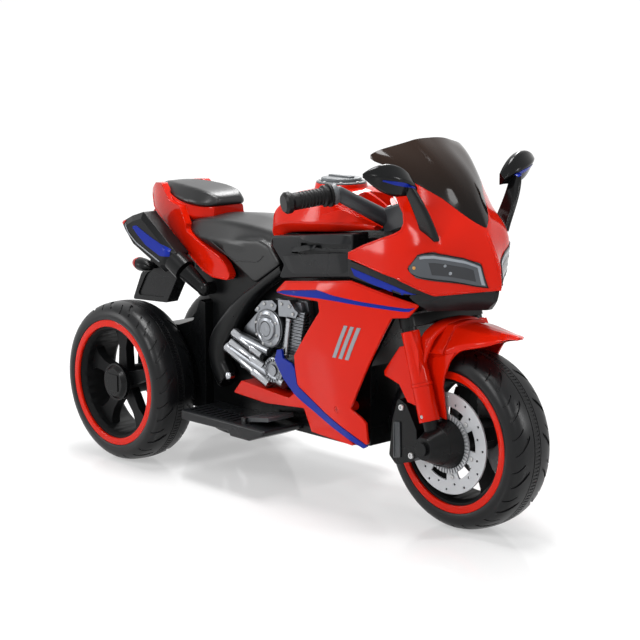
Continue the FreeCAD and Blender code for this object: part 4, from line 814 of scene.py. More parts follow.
def along(line: Outline, share: float) -> Pair:
    """Point of a drawn line at a share of its length.

    Args:
        line: the line's corners.
        share: 0 at its start to 1 at its end.

    Returns:
        The point.
    """
    lengths = [math.dist(a, b) for a, b in zip(line, line[1:])]
    goal = share * sum(lengths)
    for (a, b), length in zip(zip(line, line[1:]), lengths):
        if goal <= length or (a, b) == (line[-2], line[-1]):
            t = min(goal / length, 1.0) if length else 0.0
            return (a[0] + (b[0] - a[0]) * t, a[1] + (b[1] - a[1]) * t)
        goal -= length
    return line[-1]


def between(top: Outline, foot: Outline, share: float, mix: float) -> Pair:
    """Point at a share of the length of two drawn lines, mixed from the first to the second."""
    (x0, z0), (x1, z1) = along(top, share), along(foot, share)
    return (x0 + (x1 - x0) * mix, z0 + (z1 - z0) * mix)


def ribbon(name: str, top: Outline, foot: Outline, columns: int, rows: int,
           spot: Callable[[float, float], Vector] = lambda x, z: mm(x, CLEAR_MM, z)) -> Piece:
    """Flat sheet between two drawn lines.

    Args:
        name: the piece's name.
        top: upper line, in millimetres.
        foot: lower line.
        columns: faces along the lines.
        rows: faces from line to line.
        spot: place of a drawn point, by default in the side view and clear of the bike's right side.

    Returns:
        The sheet.
    """
    return sheet_grid(name, [[spot(*between(top, foot, column / columns, row / rows))
                              for column in range(columns + 1)] for row in range(rows + 1)])


def laid_ribbon(name: str, top: Outline, foot: Outline, carrier: Piece, columns: int, rows: int,
                depth_mm: float) -> Piece:
    """Thin strip between two lines of the side view, laid on the right side of a shell.

    Args:
        name: the piece's name.
        top: upper line in X and Z.
        foot: lower line.
        carrier: shell that carries it.
        columns: faces along it.
        rows: faces across it.
        depth_mm: its thickness.

    Returns:
        The strip.
    """
    strip = ribbon(name, top, foot, columns, rows)
    lay_on(strip, carrier, "Y", True)
    thicken(strip, depth_mm)
    return strip


def join(name: str, pieces: Sequence[Piece]) -> Piece:
    """Join pieces into the first one and name it.

    Args:
        name: the joined piece's name.
        pieces: the pieces.

    Returns:
        The joined piece.
    """
    bpy.ops.object.select_all(action="DESELECT")
    for piece in pieces:
        piece.select_set(True)
    bpy.context.view_layer.objects.active = pieces[0]
    if len(pieces) > 1:
        bpy.ops.object.join()
    pieces[0].name = name
    return pieces[0]


def about(centre: Vector, axis: str, count: int, start: float = 0.0) -> list[Matrix]:
    """Matrices that repeat a shape round an axis through the centre."""
    return [Matrix.Translation(centre) @ Matrix.Rotation(start + 2 * math.pi * number / count, 4, axis)
            @ Matrix.Translation(-centre) for number in range(count)]


def screws(name: str, way: Vector, heads: Sequence[tuple[Vector, float, float]], body: str = "bike_body",
           pair: bool = True, ring: Sequence[Matrix] = ()) -> None:
    """Zinc-plated socket screws: rounded drums with a recess in their face.

    Args:
        name: the piece's name.
        way: direction that the heads face.
        heads: foot, and radius and height in millimetres, of each.
        body: the CAD body that carries them.
        pair: False for screws that have no mirror image.
        ring: matrices that repeat the first head.
    """
    made = []
    for number, (foot, r, h) in enumerate(heads):
        profile = [(r, 0), (r, h * 0.75), (r * 0.88, h), (r * 0.5, h), (r * 0.46, h * 0.45), (0, h * 0.45)]
        made.append(turned(f"{name}_{number}", profile, foot, way, 18))
    if ring:
        made += [new_piece(name, made[0].data) for _ in ring[1:]]
        for head, matrix in zip(made, ring):
            head.data.transform(matrix)
    fit(join(name, made), STEEL, "zinc_plated_steel", TURNED_DEG, body, pair)


@dataclass
class Wheel:
    """One wheel's treaded tyre over the CAD rim, ring and hub. Bands are distances from its middle plane."""

    stem: str
    body: str
    middle: Place
    half_profile: Outline = (
        (104.0, 38.5), (114.8, 38.5), (114.8, 43.5), (118.5, 44.9), (121.5, 45.0), (125.0, 44.6),
        (128.5, 43.6), (132.0, 42.0), (135.0, 39.8), (137.6, 37.0), (139.8, 33.6), (141.5, 29.6),
        (142.8, 25.0), (143.7, 20.0), (144.3, 15.0), (144.7, 10.5), (144.85, 7.8), (144.9, 6.2),
        (145.0, 4.6), (145.0, 0.0))
    columns: int = 288
    groove_pitch: int = 18
    groove_mm: float = 2.2
    line_share: float = 0.8
    tick_mm: float = 1.1
    tread_radius: float = 130.0
    line_band: Pair = (6.2, 7.8)
    tick_half: float = 4.6
    groove_band: Pair = (14.0, 39.0)
    wide_band: Pair = (20.0, 33.0)
    side_band: Pair = (27.0, 42.0)
    slant: float = math.radians(15.0)
    slant_from: float = 42.0
    slant_span: float = 34.0
    slant_power: float = 1.4

    def build(self) -> None:
        """Model and dress the tyre."""
        tyre = self._carcass()
        self._cut(tyre)
        outward(tyre)
        fit(tyre, TYRE_PP, "black_tyre", 38, self.body, False, [f"{self.stem}_tyre"])

    def _twist(self, across: float) -> float:
        """Angle by which the columns have slanted at a distance from the middle plane."""
        share = min(max((self.slant_from - abs(across)) / self.slant_span, 0.0), 1.0)
        return self.slant * share ** self.slant_power

    def _carcass(self) -> Piece:
        """Tyre skin from bead to bead, whose columns slant from the shoulders to the crown.

        Returns:
            The closed skin.
        """
        centre = Vector(self.middle)
        far_half = [(radius, -across) for radius, across in reversed(self.half_profile[:-1])]
        rings = []
        for radius, across in (*self.half_profile, *far_half):
            angles = [2 * math.pi * step / self.columns + self._twist(across) for step in range(self.columns)]
            rings.append([(centre + Vector((radius * math.cos(angle), across, radius * math.sin(angle)))) * MM
                          for angle in angles])
        return loft(f"{self.stem}_treaded_tyre", rings, closed=True)

    def _depth(self, across: float, radius: float, column: int) -> float:
        """Depth of the tread at one face.

        Args:
            across: distance from the wheel's middle plane in millimetres.
            radius: distance from the axle.
            column: the face's column round the tyre.

        Returns:
            Depth in millimetres, 0 where the tyre is smooth.
        """
        def within(band: Pair) -> bool:
            """Say whether the face lies in a band."""
            return band[0] < abs(across) < band[1]

        if radius < self.tread_radius:
            return 0.0
        if within(self.line_band):
            return self.groove_mm * self.line_share
        if abs(across) < self.tick_half:
            return self.tick_mm if column % 2 else 0.0
        wide = 3 if within(self.wide_band) else 2
        half_on = (column + self.groove_pitch // 2) % self.groove_pitch
        groove = within(self.groove_band) and column % self.groove_pitch < wide
        side = within(self.side_band) and half_on < 1
        return self.groove_mm if groove or side else 0.0

    def _cut(self, tyre: Piece) -> None:
        """Sink the tread's grooves by extruding their faces towards the axle.

        Args:
            tyre: the smooth tyre.
        """
        def spot(face: bpy.types.MeshPolygon) -> tuple[float, ...]:
            """A face's middle, rounded so that it names the face."""
            return tuple(round(number, 7) for number in face.center)

        centre = Vector(self.middle) * MM
        levels: dict[float, set] = {}
        for face in tyre.data.polygons:
            out = face.center - centre
            angle = math.atan2(out.z, out.x) - self._twist(out.y / MM)
            column = math.floor(angle / (2 * math.pi) * self.columns) % self.columns
            depth = self._depth(out.y / MM, math.hypot(out.x, out.z) / MM, column)
            levels.setdefault(depth, set()).add(spot(face))
        levels.pop(0.0)
        for level in sorted(levels):
            with picked(tyre, "FACE", lambda face: spot(face) in levels[level]):
                bpy.ops.mesh.extrude_region_move()
            for vertex in tyre.data.vertices:
                if vertex.select:
                    out = vertex.co - centre
                    out.y = 0.0
                    vertex.co -= out.normalized() * (level * MM)
            tyre.data.update()


@dataclass
class Bodywork:
    """Every shell and fitting whose CAD shape is shown as it is, with its finish, and the fairings' trim."""

    finishes: tuple[tuple[Finish, str], ...] = (
        (RED_ABS, "nose_fairing tank side_fairing_left side_fairing_right tail_cowl fork_covers "
                  "front_mudguard front_trim_rings rear_left_trim_ring rear_right_trim_ring belly_panels"),
        (CHARCOAL_PP, "side_covers nose_undertray dash_panel tail_frame"),
        (BLACK_PP, "chassis_left chassis_right fork rear_left_hub_cap rear_right_hub_cap rear_axle_housing "
                   "gear_motors control_box battery charge_socket headlight_bowls hub_covers brake_calipers "
                   "indicators exhausts"),
        (BLUE_ABS, "side_blades"), (GRIP_RUBBER, "grips"), (SILVER_ABS, "engine_covers"),
        (DISC_PP, "brake_discs"), (SMOKED_PC, "windscreen"), (LENS_PC, "headlight_lenses"),
        (RED_LENS, "tail_lamp power_switch"), (RIM_PP, "front_rim rear_left_rim rear_right_rim"),
        (GREY_PP, "horn_button music_button"), (MIRROR_FILM, "mirror_glasses"),
        (STEEL, "front_axle rear_axle steering_stem"), (RED_SCREW, "fairing_screws"),
        (ACETAL, "steering_bushes"), (GREY_PP, "tank_cap"), (ARM_PP, "handlebar"), (GLOSS_PP, "mirrors"),
        (CHARCOAL_PP, "footrests"), (ARM_PP, "accelerator_pedal"))
    ledge_top: Outline = ((17, 353.5), (37, 369), (192, 388.4), (319, 366.4))
    ledge_mm: float = 3.4
    ledge_grid: Grid = (90, 6)
    ledge_taper: int = 8
    ledge_lift_mm: float = 0.02
    ledge_wall_mm: float = 0.5
    stripe_top: Outline = ((13, 350), (35, 356), (122, 368), (162, 363.5), (220, 361), (309, 360), (322, 362))
    stripe_foot: Outline = ((13, 349), (36, 348.6), (121, 354), (163, 354.5), (220, 354), (300, 354),
                            (312, 355))
    stripe_grid: Grid = (120, 6)
    stripe_seam_mm: float = 6.0
    stripe_mm: float = 0.7
    bar_feet: tuple[float, ...] = (158, 172, 186)
    bar_wide: float = 8
    bar_lean: float = 26
    bar_rise: Pair = (262, 318)
    bar_grid: Grid = (14, 2)
    bar_mm: float = 0.6
    cover_half: float = 96.0
    facets: tuple[tuple[Outline, Outline, float, bool], ...] = (
        (((62, 449.4), (97, 453.6), (184, 463.4)),
         ((64, 446), (96, 443.6), (139, 444.6), (184, 448.5)), 8.0, True),
        (((42, 427.5), (73, 434.5), (102, 438)), ((44, 421), (72, 424.5), (100, 431)), 6.5, True),
        (((22, 411), (100, 423), (178, 434)), ((36, 380), (110, 388), (182, 397)), 6.0, False))
    facet_columns: int = 40
    facet_taper: int = 5
    facet_base_mm: float = 0.3
    facet_edge_mm: float = -0.6
    facet_tuck_mm: float = -3.0
    facet_wall_mm: float = 1.2
    bead_mm: float = 1.5
    bead_end_mm: float = 0.5
    bead_sink_mm: float = 0.5
    bead_steps: int = 12
    bead_step_mm: float = 7
    bead_jump_mm: float = 25
    bead_edges: tuple[tuple[str, str, tuple[Outline, ...]], ...] = (
        ("nose_edge_beads", "nose_fairing", (
            ((192.5, 431), (193, 436), (223, 450), (290, 475), (303, 482.5), (307.8, 495), (305, 510.5),
             (290, 533)),
            ((193, 428.5), (300, 411), (324.6, 401), (352, 385.2), (408, 392.4)))),
        ("tail_edge_beads", "tail_cowl", (
            ((-262, 422), (-212, 402.2), (-167, 387.2), (-148, 373.6), (-135.5, 357.5)),
            ((-407, 478), (-393, 452.5), (-321, 424), (-282, 396), (-212, 359), (-183, 350.2),
             (-144, 350.2)))))
    skins: dict[str, Piece] = field(default_factory=dict)

    def build(self) -> None:
        """Show every node as a smooth copy in its finish, then add the trim."""
        for finish, nodes in self.finishes:
            for node in nodes.split():
                piece = merged_copy(node, f"{node}_skin")
                body = frame["nodes"][node]["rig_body"]
                self.skins[node] = fit(piece, finish, slot_of(node), body=body, pair=False, nodes=[node])
        self._ledges()
        self._stripes()
        self._facets()
        self._beads()

    def _ledges(self) -> None:
        """Upper strip of each fairing, which leans out over the blue stripe."""
        columns, rows = self.ledge_grid
        ledge = ribbon("fairing_ledges", self.ledge_top, self.stripe_top, columns, rows)
        drape(ledge, [self.skins["side_fairing_right"]], self.ledge_lift_mm)
        for vertex in ledge.data.vertices:
            row, column = divmod(vertex.index, columns + 1)
            ends = min(1.0, column / self.ledge_taper, (columns - column) / self.ledge_taper)
            vertex.co.y -= self.ledge_mm * ends * (row / rows) * MM
        thicken(ledge, self.ledge_wall_mm)
        fit(ledge, RED_ABS, "red_gloss_abs", 40)

    def _stripes(self) -> None:
        """Blue stripe along the upper edge of each fairing and three slanted bars on its flank."""
        fairing = self.skins["side_fairing_right"]
        stripe = ribbon("fairing_stripe", self.stripe_top, self.stripe_foot, *self.stripe_grid)
        drape(stripe, [fairing, self.skins["fairing_screws"]], LAY_MM, self.stripe_seam_mm)
        thicken(stripe, self.stripe_mm)
        fit(stripe, BLUE_ABS, "blue_gloss_abs")
        bars = []
        low, high = self.bar_rise
        for x in self.bar_feet:
            rear, front = [((start, low), (start + self.bar_lean, high)) for start in (x, x + self.bar_wide)]
            bars.append(laid_ribbon(f"flank_bar_{x}", rear, front, fairing, *self.bar_grid, self.bar_mm))
        fit(join("flank_bars", bars), SILVER_ABS, "silver_metallic_abs")

    def _facets(self) -> None:
        """Folded facets on each side cover: two eaves that catch the light over a panel that falls away."""
        made = []
        last = self.facet_columns
        crest, edge, tuck = range(3)
        for number, (top, foot, height, eave) in enumerate(self.facets):
            folds = ((0.0, tuck), (0.0, crest), (1.0, edge))
            if eave:
                folds = ((0.0, edge), (1.0, crest), (1.0, tuck))
            grid = []
            for mix, fold in folds:
                line = []
                for column in range(last + 1):
                    x, z = between(top, foot, column / last, mix)
                    ends = min(1.0, column / self.facet_taper, (last - column) / self.facet_taper)
                    out = (self.facet_base_mm + height * ends, self.facet_edge_mm, self.facet_tuck_mm)[fold]
                    line.append(mm(x, -self.cover_half - out, z))
                grid.append(line)
            sheet = sheet_grid(f"side_cover_facet_{number}", grid)
            thicken(sheet, self.facet_wall_mm, offset=-1.0)
            made.append(sheet)
        fit(join("side_cover_facets", made), CHARCOAL_PP, slot_of("side_covers"), 25)

    def _beads(self) -> None:
        """Rolled edges of the nose and the tail cowl, which catch a thin line of light."""
        for name, node, lines in self.bead_edges:
            beads = []
            for number, line in enumerate(lines):
                length = sum(math.dist(a, b) for a, b in zip(line, line[1:]))
                steps = max(4, round(length / self.bead_step_mm))
                path = []
                for step in range(steps + 1):
                    x, z = along(line, step / steps)
                    spot = right_side(self.skins[node], mm(x, CLEAR_MM, z))
                    if spot and (not path or (spot[0] - path[-1]).length < self.bead_jump_mm * MM):
                        path.append(spot[0] - spot[1] * (self.bead_sink_mm * MM))
                if len(path) > 3:
                    beads.append(bead(f"{name}_{number}", path, self.bead_end_mm, self.bead_mm,
                                      self.bead_steps))
            fit(join(name, beads), RED_ABS, "red_gloss_abs", 60)


@dataclass
class Nose:
    """Layers of the headlights, the blue bands under the nose and the crease down its middle."""

    lamp_top: Outline = ((322, 426.4), (337, 448.8), (345, 451.6), (357, 453), (370, 449.6), (383, 443.6),
                         (398, 430.7))
    lamp_foot: Outline = ((322.4, 425.6), (328, 417.4), (340, 412.3), (372, 406.2), (394, 398), (407, 395.6))
    band_top: Outline = ((188, 411), (231, 403), (297, 391), (330, 385))
    band_foot: Outline = ((196, 399), (231, 391), (297, 381), (330, 384))
    columns: int = 72
    rows: int = 20
    lamp_lift_mm: float = 0.2
    band_grid: Grid = (60, 3)
    band_mm: float = 0.8
    reflectors: tuple[tuple[str, float, float, float, Finish], ...] = (
        ("amber_marker", 332, 428, 2.6, AMBER_PC), ("lamp_reflector_rear", 369, 432, 2.2, WHITE_PC),
        ("lamp_reflector_front", 373, 420, 2.6, WHITE_PC))
    crease_middle: Place = (345, 0, 405)
    crease_turn: Pair = (100.0, 8.0)
    crease_steps: int = 12
    crease_sink_mm: float = 1.6
    crease_reach: float = 0.2
    crease_mm: float = 2.6
    crease_end_mm: float = 0.8
    crease_steps_round: int = 16
    crease_squash: float = 1.5

    def build(self, skins: dict[str, Piece]) -> None:
        """Build the trims on the CAD shells.

        Args:
            skins: the shown shells by node.
        """
        sheet = ribbon("lamp_sheet", self.lamp_top, self.lamp_foot, self.columns, self.rows)
        drape(sheet, [skins["nose_fairing"], skins["headlight_lenses"]], self.lamp_lift_mm)
        # Rows count from the lamp's upper edge, and columns from its rear corner.
        last, low = self.columns - 1, self.rows - 1
        lens = self._layer(sheet, "headlight_covers", None, 0.9, LENS_PC, "tinted_lens")
        self._layer(sheet, "headlight_gasket", lambda row, column: row in (0, low) or column in (0, 1, last),
                    1.5, GLOSS_PP, "charcoal_satin_pp")
        self._layer(sheet, "headlight_light_strip",
                    lambda row, column: (2 <= row <= 3 and 22 <= column <= last - 2)
                    or (last - 4 <= column <= last - 2 and 2 <= row <= low - 2), 1.3, WHITE_PC, "tinted_lens")
        # Painted shade: a darker sheet inside the lens where there is only depth.
        self._layer(sheet, "headlight_inner_shade", lambda row, column: 7 <= row <= 15 and 30 <= column <= 62,
                    1.15, SHADE_PC, "tinted_lens")
        bpy.data.objects.remove(sheet)
        band = laid_ribbon("tongue_band", self.band_top, self.band_foot, skins["side_covers"],
                           *self.band_grid, self.band_mm)
        fit(band, BLUE_ABS, "blue_gloss_abs")
        self._reflectors(lens)
        self._crease(skins["nose_fairing"])

    def _layer(self, sheet: Piece, name: str, wanted: Callable[[int, int], bool] | None, depth_mm: float,
               finish: Finish, slot: str) -> Piece:
        """Cut one layer of the lamp out of the grid and give it a wall.

        Args:
            sheet: the grid over the lens and the rim of its opening.
            name: the layer's name.
            wanted: takes a face's row and column, and says whether it stays. None keeps all.
            depth_mm: how far the layer stands off the nose.
            finish: its material.
            slot: record slot.

        Returns:
            The layer of both sides.
        """
        layer = new_piece(name, sheet.data)
        if wanted:
            width = self.columns + 1
            with picked(layer, "FACE", lambda face: not wanted(*divmod(min(face.vertices), width))):
                bpy.ops.mesh.delete(type="FACE")
        thicken(layer, depth_mm)
        return fit(layer, finish, slot, 40)

    def _reflectors(self, lens: Piece) -> None:
        """Amber marker and two small bright reflectors behind the lens's face.

        Args:
            lens: the headlight covers.
        """
        for name, x, z, r, finish in self.reflectors:
            spot = right_side(lens, mm(x, CLEAR_MM, z))
            if not spot:
                log.info("%s has no carrier", name)
                continue
            profile = [(r, -0.6), (r, 0.3), (r * 0.7, 0.8), (r * 0.62, 0.4), (r * 0.2, 0.9), (0, 1.0)]
            fit(turned(name, profile, *spot, 24), finish, "tinted_lens", TURNED_DEG)

    def _crease(self, nose: Piece) -> None:
        """Soft crease down the middle of the nose, from the screen's foot to the beak.

        Args:
            nose: the nose fairing.
        """
        path = []
        start, stop = self.crease_turn
        for step in range(self.crease_steps + 1):
            turn = math.radians(start + (stop - start) * step / self.crease_steps)
            way = Vector((math.cos(turn), 0, math.sin(turn)))
            hit, place, _, _ = nose.ray_cast(mm(*self.crease_middle) + way * self.crease_reach, -way)
            if hit:
                path.append(place - way * (self.crease_sink_mm * MM))
        crease = bead("nose_crease", path, self.crease_end_mm, self.crease_mm, self.crease_steps_round,
                      self.crease_squash)
        fit(crease, RED_ABS, "red_gloss_abs", 60, pair=False)


@dataclass
class Controls:
    """Clamp plate, bar collars, mirror inlays and the filler cap's ring and screws."""

    clamp_top: float = 386.0
    clamp_sink: float = 0.2
    clamp_mm: float = 2.6
    clamp_round_mm: float = 4.0
    clamp_screw_foot: float = 2.3
    clamp_screw_mm: Pair = (4.2, 2.6)
    stem_nut_mm: Pair = (9.0, 4.0)
    clamp: Outline = ((-44, -34), (-44, 34), (-30, 39), (8, 39), (14, 30), (14, -30), (8, -39), (-30, -39))
    clamp_screws: Outline = ((-34, -27), (-34, 27), (4, -27), (4, 27))
    elbow: Place = (-63.0, -105.0, 424.0)
    bar_way: Place = (-0.33, -0.93, -0.12)
    collar: Outline = ((12.6, 3), (16.2, 4), (16.8, 6), (16.8, 11), (16.2, 13), (12.6, 13))
    cap: Place = (62.0, 0.0, 530.0)
    cap_ring: Outline = ((35, 0.2), (42, 0.2), (42, 2.2), (40.5, 3.2), (36.5, 3.2), (35, 2.4))
    cap_screw: Place = (38.5, 0, 3.0)
    cap_screw_mm: Pair = (2.4, 1.6)
    cap_screw_count: int = 8
    inlay_x: float = 460
    inlay_grid: Grid = (40, 2)
    inlay_mm: float = 0.7
    inlay_top: Outline = ((-118, 556), (-135, 563), (-152, 566), (-172, 569))
    inlay_foot: Outline = ((-118, 553), (-135, 557), (-152, 560.5), (-172, 567))

    def build(self, skins: dict[str, Piece]) -> None:
        """Build the fittings.

        Args:
            skins: the shown shells by node.
        """
        self._clamp_plate()
        self._collars()
        self._cap_ring()
        self._inlays(skins["mirrors"])

    def _clamp_plate(self) -> None:
        """Grey cover on the handlebar clamp with four screws and the stem's nut."""
        corners = [leaned(x, y, self.clamp_top - self.clamp_sink) for x, y in self.clamp]
        cover = plate("clamp_cover", corners, lean_way(0, 0, self.clamp_mm) * MM, self.clamp_round_mm)
        soften(cover, 1.2)
        fit(cover, GREY_PP, slot_of("handlebar"), body="steering", pair=False)
        foot = self.clamp_top + self.clamp_screw_foot
        heads = [(leaned(x, y, foot), *self.clamp_screw_mm) for x, y in self.clamp_screws]
        heads.append((leaned(0, 0, foot), *self.stem_nut_mm))
        screws("clamp_screws", lean_way(0, 0, 1), heads, "steering", pair=False)

    def _collars(self) -> None:
        """Grey collar on the bar inside each grip."""
        collar = turned("bar_collars", self.collar, leaned(*self.elbow), Vector(self.bar_way), 40, True)
        fit(collar, GREY_PP, slot_of("handlebar"), TURNED_DEG, "steering")

    def _cap_ring(self) -> None:
        """Ring of screws and a raised rim round the filler cap."""
        middle = mm(*self.cap)
        ring = turned("filler_ring", self.cap_ring, middle, UP, 64, True)
        fit(ring, GREY_PP, slot_of("tank_cap"), TURNED_DEG, pair=False)
        screws("filler_screws", UP, [(middle + mm(*self.cap_screw), *self.cap_screw_mm)], pair=False,
               ring=about(middle, "Z", self.cap_screw_count))

    def _inlays(self, mirrors: Piece) -> None:
        """Blue inlay on the front of each mirror head.

        Args:
            mirrors: the mirror heads.
        """
        inlay = ribbon("mirror_inlays", self.inlay_top, self.inlay_foot, *self.inlay_grid,
                       lambda y, z: mm(self.inlay_x, y, z))
        lay_on(inlay, mirrors, "X", False)
        thicken(inlay, self.inlay_mm, Vector((1, 0, 0)))
        fit(inlay, BLUE_ABS, "blue_gloss_abs")


@dataclass
class FrontEnd:
    """Fork brace, toothed rings, caliper plates and screws of the steered end."""

    brace: tuple[Place, ...] = (
        (316, -77, 243), (317, -75, 268), (320, -69, 295), (324, -56, 317), (328, -32, 330), (330, 0, 334))
    brace_mm: tuple[float, ...] = (9.0, 11.5, 12.5, 12.5, 12.5, 12.5)
    brace_section: Outline = ((-1, -0.3), (-1, 0.12), (-0.8, 0.34), (0, 0.42), (0.8, 0.34), (1, 0.12),
                              (1, -0.3), (0, -0.34))
    disc_outer: float = -49.1
    tooth_ring: Outline = ((40.5, 0), (48, 0), (48, 1.6), (40.5, 1.6))
    tooth_steps: int = 96
    tooth_band: Pair = (40.5, 48)
    tooth_mm: float = 1.6
    rivet_radius: float = 54
    rivet_mm: Pair = (3.6, 2.0)
    rivet_count: int = 6
    rivet_start: float = math.radians(17.0)
    caliper_outer: float = -81.2
    caliper_sink: float = 0.8
    caliper_mm: float = 2.6
    caliper_round_mm: float = 2.5
    caliper_rim_mm: Pair = (2.2, 1.2)
    caliper: Outline = ((-92, -6), (-76, -8), (-60, 48), (-74, 50))
    caliper_bolts: Outline = ((-50, 70), (-52, -8))
    caliper_bolt_sink: float = 0.6
    caliper_bolt_mm: Pair = (5.2, 3.4)
    cover_screw: Place = (0, -89.6, 49)
    cover_screw_mm: Pair = (3.0, 2.6)

    def build(self) -> None:
        """Build the pieces."""
        self._brace()
        self._toothed_rings()
        self._caliper_plates()
        screws("fork_cover_screws", RIGHT, [(leaned(*self.cover_screw), *self.cover_screw_mm)], "steering")

    def _brace(self) -> None:
        """Red arch that ties both fork covers over the mudguard."""
        def section(point: Vector, way: Vector, half: float) -> list[Vector]:
            """Flat ring with a raised back.

            Args:
                point: place on the line.
                way: the line's direction there.
                half: half of its width in metres.

            Returns:
                The ring's points.
            """
            fore = Vector((1, 0, 0)) - way * way.x
            fore.normalize()
            up = way.cross(fore)
            return [point + fore * (half * across) - up * (half * rise)
                    for across, rise in self.brace_section]

        path = [mm(*point) for point in self.brace]
        path += [Vector((point.x, -point.y, point.z)) for point in reversed(path[:-1])]
        arch = sweep("fork_brace", path, [*self.brace_mm, *reversed(self.brace_mm[:-1])], section)
        soften(arch, 1.2, 2)
        fit(arch, RED_ABS, "red_gloss_abs", 40, "steering", False)

    def _toothed_rings(self) -> None:
        """Ring of fine teeth inside each brake disc, and the disc's rivets."""
        middle = FRONT_AXLE * MM
        face = middle + mm(0, self.disc_outer, 0)
        ring = turned("toothed_rings", self.tooth_ring, face, RIGHT, self.tooth_steps, True)
        raise_teeth(ring, middle, self.tooth_steps, 2, self.tooth_band, self.tooth_mm)
        fit(ring, DISC_PP, "light_grey_pp", 30, "front_wheel")
        foot = middle + mm(self.rivet_radius, self.disc_outer, 0)
        screws("disc_rivets", RIGHT, [(foot, *self.rivet_mm)], "front_wheel",
               ring=about(middle, "Y", self.rivet_count, self.rivet_start))

    def _caliper_plates(self) -> None:
        """Bare raised plate with a rim, and two bolts, on each caliper."""
        corners = [leaned(x, self.caliper_outer + self.caliper_sink, z) for x, z in self.caliper]
        badge = plate("caliper_plates", corners, RIGHT * (self.caliper_mm * MM), self.caliper_round_mm)
        recess(badge, RIGHT, *self.caliper_rim_mm)
        soften(badge, 0.4, 2)
        fit(badge, ARM_PP, slot_of("brake_calipers"), 35, "steering")
        foot = self.caliper_outer + self.caliper_bolt_sink
        heads = [(leaned(x, foot, z), *self.caliper_bolt_mm) for x, z in self.caliper_bolts]
        screws("caliper_bolts", RIGHT, heads, "steering")


